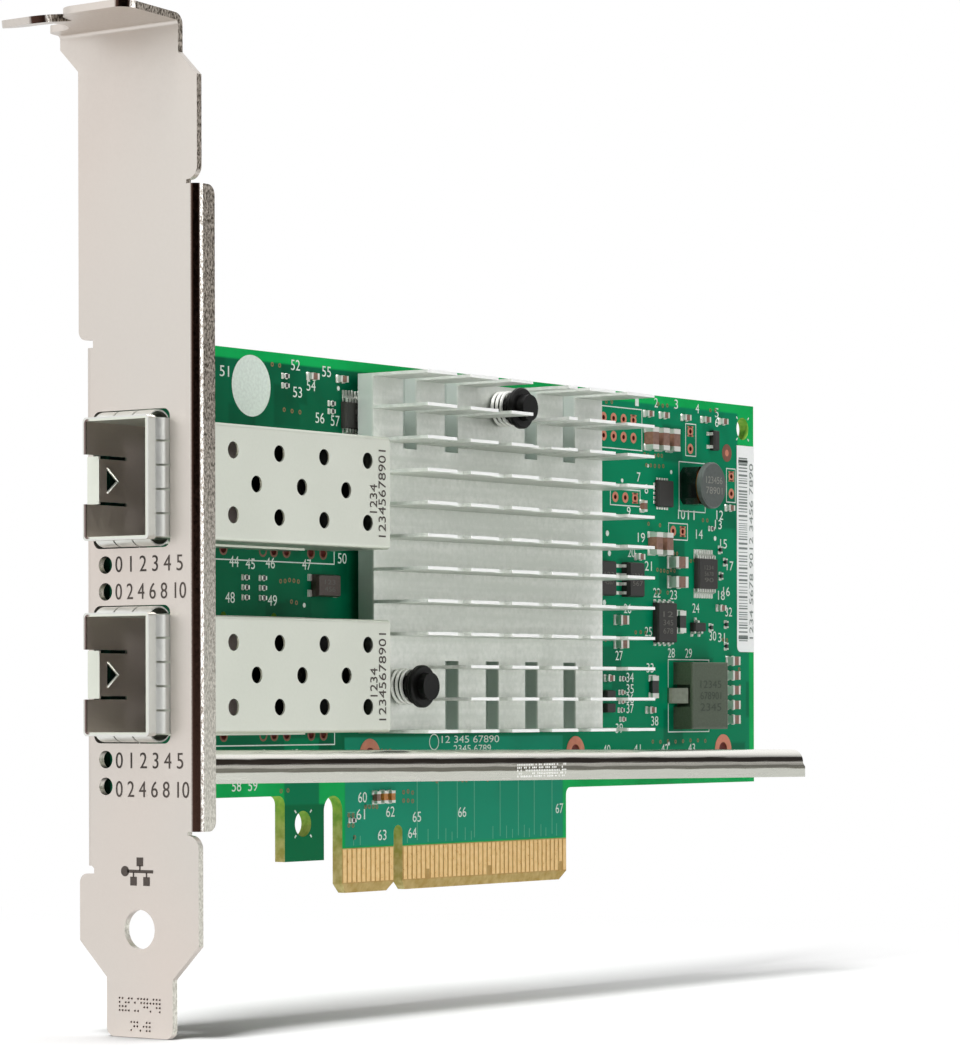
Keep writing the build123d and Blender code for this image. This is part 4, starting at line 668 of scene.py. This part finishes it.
def figures(text, x, y, height, width=None):
    """Numerals from Blender's own font, with their lower left corner at x and y."""
    curve = bpy.data.curves.new("figures", "FONT")
    curve.body = text
    holder = bpy.data.objects.new("figures", curve)
    bpy.context.scene.collection.objects.link(holder)
    bpy.context.view_layer.update()
    flat = bpy.data.meshes.new_from_object(holder.evaluated_get(bpy.context.evaluated_depsgraph_get()))
    spots = [(v.co.x, v.co.y) for v in flat.vertices]
    low_x = min(p[0] for p in spots)
    low_y = min(p[1] for p in spots)
    tall = height / (max(p[1] for p in spots) - low_y)
    wide = width / (max(p[0] for p in spots) - low_x) if width else tall
    points = [(x + (p[0] - low_x) * wide, y + (p[1] - low_y) * tall) for p in spots]
    faces = [tuple(face.vertices) for face in flat.polygons]
    bpy.data.objects.remove(holder)
    bpy.data.meshes.remove(flat)
    bpy.data.curves.remove(curve)
    return points, faces


def lay(shapes, origin, right, up):
    """Shapes drawn in right and up, as points in the card's frame in millimetres."""
    origin, right, up = Vector(origin), Vector(right), Vector(up)
    return [([origin + right * x + up * y for x, y in points], faces) for points, faces in shapes]


def printed(name, ink, laid):
    """One piece out of many laid shapes."""
    mesh = bpy.data.meshes.new(name)
    points = []
    faces = []
    for shape_points, shape_faces in laid:
        first = len(points)
        points += [tuple(p * MM) for p in shape_points]
        faces += [tuple(i + first for i in face) for face in shape_faces]
    mesh.from_pydata(points, [], faces)
    mesh.materials.append(ink)
    piece = bpy.data.objects.new(name, mesh)
    bpy.context.scene.collection.objects.link(piece)
    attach(piece, "root")
    print(name, "has", len(faces), "faces")
    return piece


def ink(name, colour, roughness=0.55):
    """Printing ink: dull, and a little thin, so a fine noise varies its tone."""
    finish, tree, shader, where = new_finish(name, colour, 0.0, roughness, 1.5)
    thin = add(tree, "ShaderNodeTexNoise", {"Vector": where, "Scale": grain(0.4), "Detail": 2.0}).outputs[0]
    strength = add(tree, "ShaderNodeMapRange", {0: thin, 1: 0.3, 2: 0.7, 3: 0.9, 4: 1.06}).outputs[0]
    shade = add(tree, "ShaderNodeHueSaturation", {"Color": colour, "Value": strength})
    tree.links.new(shade.outputs[0], shader.inputs["Base Color"])
    return finish


white_ink = ink("white_epoxy_ink", "#DDE9E0")
dark_ink = ink("brown_black_pad_ink", "#3B322C")
grey_ink = ink("grey_laser_mark", "#8B8B84")
print("inks:", white_ink.name, dark_ink.name, grey_ink.name)

# %% [markdown]
# ## White printing on the board
# The printing draws a frame round each connector and tall part, and a number beside
# most parts. The numbers are one plain running count, from 1 up, in no order that means
# anything.

# %% Frames, numbers and dots on the board
on_board_face = {"origin": (0, board_front - INK / MM, 0), "right": (1, 0, 0), "up": (0, 0, 1)}
frames = [
    (47.7, 60.4, 58.4, 66.4), (69.8, 60.3, 72.7, 65.1), (50.1, 52.4, 57.9, 54.8),
    (80.9, 54.0, 83.5, 59.1), (65.2, 48.0, 70.4, 50.5), (68.0, 52.2, 75.2, 59.5),
    (65.0, 20.2, 76.1, 30.8), (-52.0, 42.2, -13.5, 58.0), (-52.0, 19.1, -13.5, 34.9)]
board_marks = [line for box in frames for line in outline(*box)]
number_spots = [
    (56.6, 66.8), (61.6, 66.9), (66.9, 67.0), (72.6, 66.7), (77.9, 66.4), (77.9, 65.0),
    (57.0, 56.0), (59.0, 54.4), (54.4, 51.0), (67.8, 51.1), (70.4, 51.1), (78.2, 51.4),
    (77.8, 50.0), (72.6, 48.4), (79.2, 47.2), (80.0, 40.2), (81.0, 44.0), (78.6, 39.6),
    (57.2, 47.4), (54.6, 45.2), (59.0, 43.4), (61.2, 39.6), (65.6, 39.4), (71.6, 37.6),
    (59.0, 34.0), (53.6, 37.2), (51.4, 30.5), (65.0, 31.0), (69.6, 31.0), (76.2, 33.6),
    (78.6, 33.4), (80.6, 37.2), (59.4, 28.8), (54.2, 27.4), (54.2, 25.8), (54.2, 24.4),
    (54.2, 23.0), (60.6, 21.2), (51.4, 20.2), (48.2, 17.2), (56.0, 17.2), (63.2, 17.2),
    (70.4, 17.2), (-34.8, 41.4), (-31.6, 41.2), (-27.6, 41.4), (-20.2, 41.4), (-35.6, 36.9),
    (-27.2, 36.7), (-12.8, 42.4), (-36.6, 64.9), (-22.4, 66.6), (-22.0, 63.2), (-19.2, 64.2),
    (-16.0, 66.2), (-17.4, 60.2), (-14.2, 60.0), (-34.4, 13.5), (-31.2, 13.5), (-8.6, 11.6),
    (-9.0, 9.4), (-2.6, 9.6), (-4.4, 6.6), (2.2, 6.7), (3.2, 8.8), (13.4, 9.2), (36.4, 9.2),
    (-29.4, 17.3), (-22.8, 17.3)]
number_height, digit_width = 1.35, 0.92
for count, (x, z) in enumerate(number_spots, 1):
    text = str(count)
    board_marks.append(figures(text, x, z, number_height, digit_width * len(text)))
dots = [
    (59.9, 58.4, 0.25), (66.0, 57.8, 0.3), (77.8, 48.6, 0.35), (49.4, 48.4, 0.4), (49.9, 45.6, 0.4),
    (48.6, 38.6, 0.4), (53.2, 56.0, 0.3), (-19.8, 36.9, 0.3), (-12.6, 64.9, 0.3), (65.2, 18.6, 0.3)]
board_marks += [disc(x, z, r) for x, z, r in dots]
board_marks += [figures("12 345 67890", 9.7, 19.15, 0.95, 13.2), figures("2345 6789", 12.4, 17.9, 0.95, 8.6)]
board_marks.append(ring(8.0, 19.3, 0.95, 1.1))
tick_start, tick_length, tick_half = 1.42, 0.32, 0.08
for hole_x, hole_z in ((board_high.x - 3.05, board_high.z - 3.5), (-20.12, 9.15)):
    for side_x, side_z in ((-1, -1), (-1, 1), (1, -1), (1, 1)):
        near_x, near_z = hole_x + side_x * tick_start, hole_z + side_z * tick_start
        far_x, far_z = near_x + side_x * tick_length, near_z + side_z * tick_length
        lean = side_x * side_z * tick_half
        tick = [
            (near_x - tick_half, near_z + lean), (far_x - tick_half, far_z + lean),
            (far_x + tick_half, far_z - lean), (near_x + tick_half, near_z - lean)]
        board_marks.append((tick, [(0, 1, 2, 3)]))
printed("board_printing", white_ink, lay(board_marks, **on_board_face))

# %% [markdown]
# Thin tracks run down the tongue to the contacts. They are copper under the lacquer, so
# they show only as slightly paler lines. Short stubs lead to some of the contacts.

# %% Tracks on the tongue
tracks = [bar(x - 0.09, 6.4, x + 0.09, 14.2) for x in (4.2, 8.9, 13.2, 17.1, 23.1, 27.4, 31.2, 35.5)]
for x in (-9.6, -8.2, 2.0, 6.6, 10.6, 12.0, 15.0, 16.4, 21.4, 24.6, 26.0, 28.8, 30.0, 32.8, 34.0, 36.6):
    tracks.append(bar(x - 0.08, 6.1, x + 0.08, 7.3 + 0.5 * (round(x) % 2)))
for x, z in ((-10.9, 10.3), (-10.9, 9.0), (-7.2, 11.2), (-5.4, 12.6)):
    tracks.append(bar(x, z, x + 1.6, z + 0.14))
track_lacquer = ink("copper_track_under_lacquer", "#46A885", 0.35)
printed("tongue_tracks", track_lacquer, lay(tracks, **on_board_face))

# %% [markdown]
# ## The round white patch
# Near the bracket the board has one large patch of white ink: a plain disc, printed
# solid.

# %% A plain white patch
patch = [disc(-30.4, 64.1, 3.85, 64)]
printed("white_patch", white_ink, lay(patch, **on_board_face))

# %% [markdown]
# ## Small copper lands
# Header holes, the cages' pin holes and a round target are ringed with bare copper, and
# about a hundred plated through holes, called vias, dot the board. A via is a tiny ring,
# lacquered over, so it shows as a dull dot. They follow rows near the parts that they
# feed, and a seeded random number leaves gaps in the rows. Each larger hole also gets its
# plated wall.

# %% Copper rings, the target and vias
chance = random.Random(12)
header_pitch = 2.54
header_starts = (
    (48.52, 64.72, 4, 2), (71.15, 63.95, 1, 2), (51.45, 53.62, 3, 1), (82.33, 57.9, 1, 2), (66.5, 49.3, 2, 1))
bore, land = 0.34, 0.76
lands = []
barrels = []


def barrel(x, z, radius, sides=20):
    """The plated wall of a hole, from one face of the board to the other."""
    turn = [i * math.tau / sides for i in range(sides)]
    points = [Vector((x + radius * math.cos(a), y, z + radius * math.sin(a)))
              for y in (board_front, board_high.y) for a in turn]
    return points, [(i, (i + 1) % sides, sides + (i + 1) % sides, sides + i) for i in range(sides)]


for x, z, columns, rows in header_starts:
    for i in range(columns):
        for j in range(rows):
            spot_x, spot_z = x + i * header_pitch, z - j * header_pitch
            barrels.append(barrel(spot_x, spot_z, bore))
            lands.append(ring(spot_x, spot_z, bore, land))
            if (i, j) == (columns - 1, 0):
                for low in (-land, land - 0.22):
                    lands.append(bar(spot_x - land, spot_z + low, spot_x + land, spot_z + low + 0.22))
lands.append(disc(81.1, 61.3, 0.5))
printed("copper_lands", copper, lay(lands, **on_board_face))

pin_lands = []
pin_steps = (1.25, 3.8, 8.8, 11.35, 13.55, 21.35)
for cage in ("cage_upper", "cage_lower"):
    low, high = corners(cage)
    for back in pin_steps:
        pin_lands.append(ring(high.x - back, low.z - 0.05, 0.55, 0.8))
        barrels.append(barrel(high.x - back, low.z - 0.05, 0.53))
barrels += [barrel(x, 17.6, 1.08) for x in (-6.1, 41.3, 79.9)]
pin_lands.append(ring(81.1, 61.3, 0.5, 1.3))
masked_copper = ink("copper_under_lacquer", "#7A4A36", 0.4)
printed("masked_lands", masked_copper, lay(pin_lands, **on_board_face))
dark_copper = ink("oxidised_copper_barrels", "#7A2E20", 0.45)
printed("hole_barrels", dark_copper, barrels)

via_copper = ink("lacquered_copper", "#80683C", 0.35)
via_rows = [
    (59.0, 60.0, 0.9, 6), (59.5, 58.6, 1.1, 5), (60.0, 50.0, 1.0, 4), (63.0, 46.0, 0.9, 6),
    (61.4, 43.5, 0.9, 7), (62.0, 40.4, 1.0, 4), (47.8, 33.5, 1.1, 3), (56.6, 34.6, 1.3, 3),
    (61.0, 19.0, 2.0, 8), (84.4, 29.5, 0.0, 1), (84.6, 26.8, 0.0, 1), (84.6, 24.2, 0.0, 1),
    (84.6, 21.6, 0.0, 1), (-9.8, 17.0, 1.0, 6), (-4.4, 18.2, 0.9, 4), (7.6, 14.2, 1.0, 3),
    (12.6, 14.2, 0.9, 4), (18.2, 14.2, 1.0, 3), (23.0, 14.3, 1.2, 2), (28.0, 14.2, 1.0, 3),
    (33.2, 14.2, 0.9, 4), (-10.6, 9.9, 0.9, 2), (-10.6, 8.7, 0.9, 2), (-10.4, 7.2, 1.0, 2),
    (-7.0, 11.0, 0.8, 4), (1.2, 12.8, 1.0, 3), (1.2, 11.6, 1.0, 3), (-26.0, 13.4, 1.4, 3),
    (-41.0, 39.8, 1.4, 3), (-24.6, 39.9, 0.9, 5), (-22.4, 37.2, 1.0, 2), (-23.8, 61.4, 1.6, 3),
    (-26.2, 67.0, 1.5, 2), (74.5, 51.2, 1.2, 2), (70.3, 45.2, 0.9, 3), (78.4, 63.2, 0.0, 1),
    (76.6, 67.4, 1.4, 2), (62.6, 67.3, 1.2, 3), (46.4, 67.0, 1.4, 4), (80.0, 33.8, 1.0, 2)]
vias = []
for x, z, step, count in via_rows:
    for i in range(count):
        if chance.random() > 0.12:
            vias.append(ring(x + i * step, z + chance.uniform(-0.15, 0.15), 0.13, 0.3, 12))
printed("vias", via_copper, lay(vias, **on_board_face))

# %% [markdown]
# ## Ink on the bracket
# The bracket carries a short legend beside each lamp hole and one picture of a small
# network, all pad printed in brown black. The legends are plain numerals. Seen from
# outside, right is the card's -Y, so the marks are laid in that direction.

# %% Legends and the network picture
bracket_face = -59.0
on_bracket = {"origin": (bracket_face - INK / MM, 0, 0), "right": (0, -1, 0), "up": (0, 0, 1)}
legends = []
legend_rows = (
    (40.0, "0 1 2 3 4 5", 10.4), (36.75, "0 2 4 6 8 10", 10.9),
    (16.75, "0 1 2 3 4 5", 10.4), (13.35, "0 2 4 6 8 10", 11.3))
for z, text, width in legend_rows:
    legends.append(figures(text, 3.15, z, 1.9, width))
picture = [
    disc(4.54, 4.58, 0.62), bar(4.9, 4.4, 8.9, 4.78),
    bar(6.35, 5.2, 7.35, 6.25), bar(6.75, 4.7, 6.95, 5.3),
    bar(5.36, 2.9, 6.36, 3.95), bar(5.76, 3.9, 5.96, 4.5),
    bar(7.38, 2.9, 8.38, 3.95), bar(7.78, 3.9, 7.98, 4.5)]
printed("bracket_printing", dark_ink, lay(legends + picture, **on_bracket))

# %% [markdown]
# Two short blocks of stamped dots sit on the bracket's foot, and one on the rail. Each dot
# is a tiny raised dome of bare metal, so it shows by its glint alone.

# %% Stamped dots
def dome(x, y, radius, lift):
    """A low six sided dome: a ring of points and one in the middle, which stands proud."""
    angles = [i * math.tau / 6 for i in range(6)]
    rim = [(x + radius * math.cos(a), y + radius * math.sin(a), 0.0) for a in angles]
    return rim + [(x, y, lift)], [(i, (i + 1) % 6, 6) for i in range(6)]


def stamp(left, low, columns, rows, pitch, radius=0.17, lift=0.12):
    """A block of domes with some left out at random."""
    return [dome(left + i * pitch, low + j * pitch, radius, lift)
            for i in range(columns) for j in range(rows) if stamp_chance.random() > 0.3]


def emboss(shapes, origin, right, up, out):
    """As lay, for shapes that stand proud of their face."""
    origin, right, up, out = Vector(origin), Vector(right), Vector(up), Vector(out)
    return [
        ([origin + right * x + up * y + out * z for x, y, z in points], faces) for points, faces in shapes]


stamp_chance = random.Random(5)
foot_dots = stamp(3.6, -11.9, 14, 4, 0.48) + stamp(5.4, -14.2, 7, 3, 0.48)
rail_dots = stamp(7.1, 14.85, 30, 5, 0.38, 0.15, 0.1)
toward_front = {"right": (1, 0, 0), "up": (0, 0, 1), "out": (0, -1, 0)}
printed("rail_stamping", spring_wire, emboss(rail_dots, (0, rail_low.y, 0), **toward_front))
printed("bracket_stamping", nickel, emboss(foot_dots, out=(-1, 0, 0), **on_bracket))

# %% [markdown]
# The latch tongue in each cage has a triangular window with its edges bent up by the
# punch. A low ridge runs along two of its sides and catches the light.

# %% Edges of the latch windows
def ridge(start, end, wide=0.2, lift=0.16):
    """A straight ridge with a triangular section, from one point to another."""
    start, end = Vector(start), Vector(end)
    side = Vector((-(end - start).y, (end - start).x)).normalized() * wide / 2
    points = [(*(p + side * s), h) for p in (start, end) for s, h in ((-1, 0.0), (0, lift), (1, 0.0))]
    return points, [(0, 1, 4, 3), (1, 2, 5, 4), (0, 2, 1), (3, 4, 5)]


latch_edges = []
for place in ("upper", "lower"):
    low, high = corners(f"cage_{place}")
    middle_z = (low.z + high.z) / 2
    for side_z in (-1, 1):
        latch_edges.append(ridge((low.x + 3.85, middle_z + side_z * 1.5), (low.x + 5.8, middle_z)))
latch_wall = board_front - 0.25
printed("latch_edges", spring_wire, emboss(latch_edges, (0, latch_wall, 0), **toward_front))

# %% [markdown]
# ## Figures on the cages
# Each cage has two short columns of counting figures near its rear end, inked on its top
# face. They are read from the side, so they are laid with a quarter turn.

# %% Figures on the cages
cage_marks = []
for place in ("upper", "lower"):
    low, high = corners(f"cage_{place}")
    middle = (0, low.y - INK / MM, (low.z + high.z) / 2)
    turned = {"origin": middle, "right": (0, 0, 1), "up": (-1, 0, 0)}
    columns = [figures("12345678901", -5.6, 15.5, 1.5, 11.0), figures("1234", -2.6, 17.3, 1.5, 3.6)]
    cage_marks += lay(columns, **turned)
printed("cage_printing", dark_ink, cage_marks)

# %% [markdown]
# ## Figures on the chips
# Chips and coils carry small laser marks, hardly paler than the moulding. Each gets two
# or three short rows of counting figures, centred on its top face.

# %% Figures on the chips
def top_marks(name, rows, height, width):
    """Rows of figures centred on a piece's top face, which looks along -Y."""
    low, high = corners(name)
    left = (low.x + high.x) / 2 - width / 2
    first = (low.z + high.z) / 2 + (len(rows) - 1) * height * 0.75 - height / 2
    shapes = []
    for i, row in enumerate(rows):
        shapes.append(figures(row, left, first - i * height * 1.5, height, width))
    return lay(shapes, (0, low.y - INK / MM, 0), (1, 0, 0), (0, 0, 1))


chip_rows = (
    ("driver_chip", ("1234", "5678", "90"), 0.6, 2.4), ("memory_chip", ("1234", "567"), 0.7, 2.6),
    ("power_chip", ("12", "345", "678"), 0.8, 2.6), ("switch_chip", ("123", "4567"), 0.7, 2.4),
    ("monitor_chip", ("12", "34"), 0.6, 1.4), ("crystal", ("123", "456"), 0.6, 2.2))
chip_marks = []
for row in chip_rows:
    chip_marks += top_marks(*row)
pale_laser = ink("pale_laser_mark", "#5E5D56")
printed("chip_marking", pale_laser, chip_marks)
dark_laser = ink("block_figures", "#2E3A2C")
drum_marks = top_marks("drum_core", ("123456", "78901"), 1.0, 4.4)
printed("drum_marking", grey_ink, drum_marks)
block_marks = top_marks("power_inductor", ("12345", "678901", "2345"), 1.1, 5.6)
printed("block_marking", dark_laser, block_marks)

# %% [markdown]
# ## The stock label
# A paper label runs up the far edge of the board. It has a strip of bars of mixed
# widths and a column of figures. The bars here are random, and code for nothing.

# %% Label, bars and figures
paper, tree, shader, where = new_finish("coated_label_paper", "#F2F5F3", 0.0, 0.5, 1.45)
fibre = add(tree, "ShaderNodeTexNoise", {"Vector": where, "Scale": grain(0.455), "Detail": 3.0}).outputs[0]
tree.links.new(add(tree, "ShaderNodeMix", {
    0: fibre, 6: "#F0F4F2", 7: "#FCFDFC"}, data_type="RGBA").outputs[2], shader.inputs["Base Color"])
label_left, label_low, label_top = 83.75, 32.0, 62.6
label_right = board_high.x - 0.05
rounding = 0.9
label_points = [(label_right, label_low), (label_right, label_top), (label_left, label_top)]
label_points += [
    (label_left + rounding - rounding * math.cos(a), label_low + rounding - rounding * math.sin(a))
    for a in (i * math.pi / 16 for i in range(9))]
label_shape = (label_points, [tuple(range(len(label_points)))])
paper_lift, bar_lift = 0.08, 0.11
label_face = dict(on_board_face, origin=(0, board_front - paper_lift, 0))
printed("paper_label", paper, lay([label_shape], **label_face))
code = []
z = label_low + 1.6
while z < label_top - 2.0:
    thick = chance.choice((0.1, 0.14, 0.2, 0.3))
    code.append(bar(label_left + 0.5, z, label_left + 2.9, z + thick))
    z += thick + chance.choice((0.2, 0.26, 0.4))
for z in (label_low + 1.9, label_top - 2.6):
    code.append(bar(label_left + 0.4, z, label_left + 3.0, z + 0.5))
code_face = dict(on_board_face, origin=(0, board_front - bar_lift, 0))
label_ink = ink("label_grey", "#7B8580")
side = {"origin": (label_left, board_front - bar_lift, label_low), "right": (0, 0, 1), "up": (-1, 0, 0)}
code_marks = lay(code, **code_face)
code_marks += lay([figures("1234 5678 9012 3456 7890", 2.0, -4.5, 1.05, 26.0)], **side)
printed("label_printing", label_ink, code_marks)

# %% [markdown]
# ## Solder
# A chip part sits on a land at each of its terminals, with a fillet of solder that climbs
# its end. The frame's mesh knows where each terminal is: its separate islands are found by
# walking along their edges, and a low pillow of solder is put round the foot of each one.

# %% Find the separate islands of a mesh
def islands(name):
    """Lowest and highest corner of each separate solid in a piece, in millimetres."""
    shape = bmesh.new()
    shape.from_mesh(nodes[name].data)
    bmesh.ops.remove_doubles(shape, verts=shape.verts, dist=0.002 * MM)
    seen = set()
    boxes = []
    for start in shape.verts:
        if start.index in seen:
            continue
        group = [start]
        seen.add(start.index)
        for vertex in group:
            for edge in vertex.link_edges:
                other = edge.other_vert(vertex)
                if other.index not in seen:
                    seen.add(other.index)
                    group.append(other)
        spots = [v.co / MM for v in group]
        low = Vector([min(p[i] for p in spots) for i in range(3)])
        high = Vector([max(p[i] for p in spots) for i in range(3)])
        boxes.append((low, high))
    shape.free()
    return boxes


def pillow(low, high, spread, rise):
    """A mound on the board round a foot: a wide base, a shoulder and a small flat top."""
    levels = ((spread, 0.0), (spread * 0.72, rise * 0.55), (spread * 0.25, rise))
    sides = 12
    middle_x, middle_z = (low.x + high.x) / 2, (low.z + high.z) / 2
    half_x, half_z = (high.x - low.x) / 2, (high.z - low.z) / 2
    points = []
    for grow, lift in levels:
        for i in range(sides):
            angle = i * math.tau / sides + math.pi / sides
            along_x, along_z = math.cos(angle), math.sin(angle)
            x = middle_x + math.copysign(half_x, along_x) + along_x * grow
            z = middle_z + math.copysign(half_z, along_z) + along_z * grow
            points.append((x, z, lift))
    faces = []
    for level in range(len(levels) - 1):
        for i in range(sides):
            a, b = level * sides + i, level * sides + (i + 1) % sides
            faces.append((b, a, a + sides, b + sides))
    faces.append(tuple(reversed(range(len(points) - sides, len(points)))))
    return [Vector((x, board_front - lift, z)) for x, z, lift in points], faces


# %% Solder round terminals and feet
solder = []
for low, high in islands("chip_terminals"):
    solder.append(pillow(low, high, 0.14, min(0.25, (high.y - low.y) / 3)))
for low, high in islands("chip_leads"):
    solder.append(pillow(low, high, 0.06, 0.08))
solder_piece = printed("solder_fillets", tin, solder)
for face in solder_piece.data.polygons:
    face.use_smooth = True

# %% [markdown]
# ## Studio
# The photograph is a plain catalogue shot: white all round, a soft shadow on the table,
# and metal that reflects a dark room towards the camera and bright walls to each side.
# The table is a stage piece. Only near the card does it take light and shadow: further
# out it fades to plain white, so that no horizon shows. Its white comes from Light Path
# for the camera and for reflections, and never needs extra light on the card.

# %% Table
table_height = cad_box[0][2] - 0.05 * MM
table_mesh = bpy.data.meshes.new("table")
reach = 3.0
table_mesh.from_pydata(
    [(-reach, -reach, table_height), (reach, -reach, table_height), (reach, reach, table_height),
     (-reach, reach, table_height)], [], [(0, 1, 2, 3)])
table = bpy.data.objects.new("table", table_mesh)
bpy.context.scene.collection.objects.link(table)
table_finish = bpy.data.materials.new("white_table")
table_finish.use_nodes = True
tree = table_finish.node_tree
tree.nodes.clear()
path = add(tree, "ShaderNodeLightPath")
spot = add(tree, "ShaderNodeTexCoord").outputs["Object"]
foot = (cad_box[0][0], 0.0, table_height)
away = add(tree, "ShaderNodeVectorMath", {0: spot, 1: foot}, operation="DISTANCE").outputs["Value"]
cloth = add(tree, "ShaderNodeBsdfDiffuse", {"Color": linear("#F2F2F2")})
# Painted shadow: for the camera the table is painted darker close to the card's foot and where the card
# crowds it.
contact_shade_ao = add(tree, "ShaderNodeAmbientOcclusion", {"Distance": 30 * MM}).outputs["AO"]
foot_shade_tone = add(tree, "ShaderNodeMix", {
    0: add(tree, "ShaderNodeMapRange", {0: away, 1: 0.0, 2: 0.07}).outputs[0],
    6: "#DDDDDD", 7: "#F9F9F9"}, data_type="RGBA").outputs[2]
near_tone = add(tree, "ShaderNodeMix", {
    0: add(tree, "ShaderNodeMapRange", {0: contact_shade_ao, 1: 0.45, 2: 0.95}).outputs[0],
    6: "#8A8A8A", 7: foot_shade_tone}, data_type="RGBA").outputs[2]
bright_cloth = add(tree, "ShaderNodeBsdfDiffuse", {"Color": near_tone})
white = add(tree, "ShaderNodeEmission", {"Color": (1, 1, 1, 1), "Strength": 1.0})
far = add(tree, "ShaderNodeMapRange", {0: away, 1: 0.02, 2: 0.3}).outputs[0]
for_camera = add(tree, "ShaderNodeMixShader", {0: far, 1: bright_cloth.outputs[0], 2: white.outputs[0]})
for_mirrors = add(tree, "ShaderNodeMixShader", {0: 0.6, 1: cloth.outputs[0], 2: white.outputs[0]})
glossy, seen = path.outputs["Is Glossy Ray"], path.outputs["Is Camera Ray"]
chosen = add(tree, "ShaderNodeMixShader", {0: glossy, 1: cloth.outputs[0], 2: for_mirrors.outputs[0]})
chosen = add(tree, "ShaderNodeMixShader", {0: seen, 1: chosen.outputs[0], 2: for_camera.outputs[0]})
add(tree, "ShaderNodeOutputMaterial", {0: chosen.outputs[0]})
table_mesh.materials.append(table_finish)
print("table at z =", round(table_height / MM, 2), "mm")

# %% [markdown]
# The world is a dim room for light that falls on the card and white for the camera. For
# reflections it is a studio: white to the left and behind, black towards the camera, and
# to the right a dark gap between the table and a raised white wall. The black side gives
# the bracket's fold its black line, and the gap darkens the upper part of its flange.

# %% World
world = bpy.data.worlds.new("studio")
bpy.context.scene.world = world
world.use_nodes = True
tree = world.node_tree
tree.nodes.clear()
path = add(tree, "ShaderNodeLightPath")
direction = add(tree, "ShaderNodeTexCoord").outputs["Generated"]


def toward(x, y):
    """How far a reflection points along a level direction."""
    level = {0: direction, 1: (x, y, 0.0)}
    return add(tree, "ShaderNodeVectorMath", level, operation="DOT_PRODUCT").outputs["Value"]


height = add(tree, "ShaderNodeSeparateXYZ", {0: direction}).outputs[2]
camera_side = add(tree, "ShaderNodeMapRange", {0: toward(-0.7966, -0.6044), 1: 0.55, 2: 0.85}).outputs[0]
right_side = add(tree, "ShaderNodeMapRange", {0: toward(0.66, -0.75), 1: 0.45, 2: 0.8}).outputs[0]
gap_low = add(tree, "ShaderNodeMapRange", {0: height, 1: -0.01, 2: 0.03}).outputs[0]
gap_high = add(tree, "ShaderNodeMapRange", {0: height, 1: 0.42, 2: 0.6, 3: 1.0, 4: 0.0}).outputs[0]
gap = add(tree, "ShaderNodeMath", {
    0: right_side,
    1: add(tree, "ShaderNodeMath", {0: gap_low, 1: gap_high}, operation="MULTIPLY").outputs[0]
}, operation="MULTIPLY").outputs[0]
dark = add(tree, "ShaderNodeMath", {
    0: camera_side,
    1: add(tree, "ShaderNodeMath", {0: gap, 1: 0.75}, operation="MULTIPLY").outputs[0]
}, operation="MAXIMUM").outputs[0]
room = add(tree, "ShaderNodeBackground", {"Color": (1, 1, 1, 1), "Strength": 0.12})
wall_light = add(tree, "ShaderNodeMapRange", {0: dark, 1: 0.0, 2: 1.0, 3: 1.0, 4: 0.02}).outputs[0]
mirror_room = add(tree, "ShaderNodeBackground", {"Color": (1, 1, 1, 1), "Strength": wall_light})
backdrop = add(tree, "ShaderNodeBackground", {"Color": (1, 1, 1, 1), "Strength": 1.0})
glossy, seen = path.outputs["Is Glossy Ray"], path.outputs["Is Camera Ray"]
for_mirrors = add(tree, "ShaderNodeMixShader", {0: glossy, 1: room.outputs[0], 2: mirror_room.outputs[0]})
for_camera = add(tree, "ShaderNodeMixShader", {0: seen, 1: for_mirrors.outputs[0], 2: backdrop.outputs[0]})
add(tree, "ShaderNodeOutputWorld", {0: for_camera.outputs[0]})
print("nodes in the world:", len(tree.nodes))

# %% [markdown]
# Three soft panels light the card. The key hangs in the board's own plane and leans to
# the left, so the shadow is a thin streak that runs to the right along the table. A panel
# at the left is mirrored by the bracket's face, and one at the right lights the chips.

# %% Lamps
def panel(name, place, aim, size, power):
    light = bpy.data.lights.new(name, "AREA")
    light.shape = "RECTANGLE"
    light.size, light.size_y = size
    light.energy = power
    lamp_object = bpy.data.objects.new(name, light)
    bpy.context.scene.collection.objects.link(lamp_object)
    lamp_object.location = place
    lamp_object.rotation_euler = (Vector(aim) - Vector(place)).to_track_quat("-Z", "Y").to_euler()
    return lamp_object


middle = (0.015, 0.0, 0.04)
panel("key_panel", (-0.62, -0.1, 1.08), middle, (0.32, 0.5), 20.5)
panel("left_panel", (-0.9, 0.3, 0.45), middle, (0.7, 0.7), 0.6)
panel("right_panel", (0.35, -1.0, 0.3), middle, (0.9, 0.7), 3.0)
print("lamps:", len(bpy.data.lights))

# %% [markdown]
# ## Camera
# The camera's place was solved from the card's standard sizes: contacts at 1 mm, the
# board's thickness and the bracket's width. It looks level at the card from in front and
# to the left, and the frame is cropped off centre, which the lens shift repeats.

# %% Camera
camera_data = bpy.data.cameras.new("camera")
camera_data.sensor_fit = "HORIZONTAL"
camera_data.sensor_width = 36.0
camera_data.lens = 147.14
camera_data.shift_x = 0.1127
camera_data.shift_y = 0.1898
camera_data.clip_start = 0.01
camera = bpy.data.objects.new("camera", camera_data)
bpy.context.scene.collection.objects.link(camera)
camera.location = (-0.41157, -0.30879, 0.0239)
heading = Vector((0.7966, 0.6044, -0.0007))
camera.rotation_euler = heading.to_track_quat("-Z", "Y").to_euler()
camera.rotation_euler.rotate_axis("Z", math.radians(-0.13))
bpy.context.scene.camera = camera
bpy.context.scene.view_settings.view_transform = "Standard"
print("camera looks along", tuple(round(v, 3) for v in heading), "through a lens of", camera_data.lens, "mm")
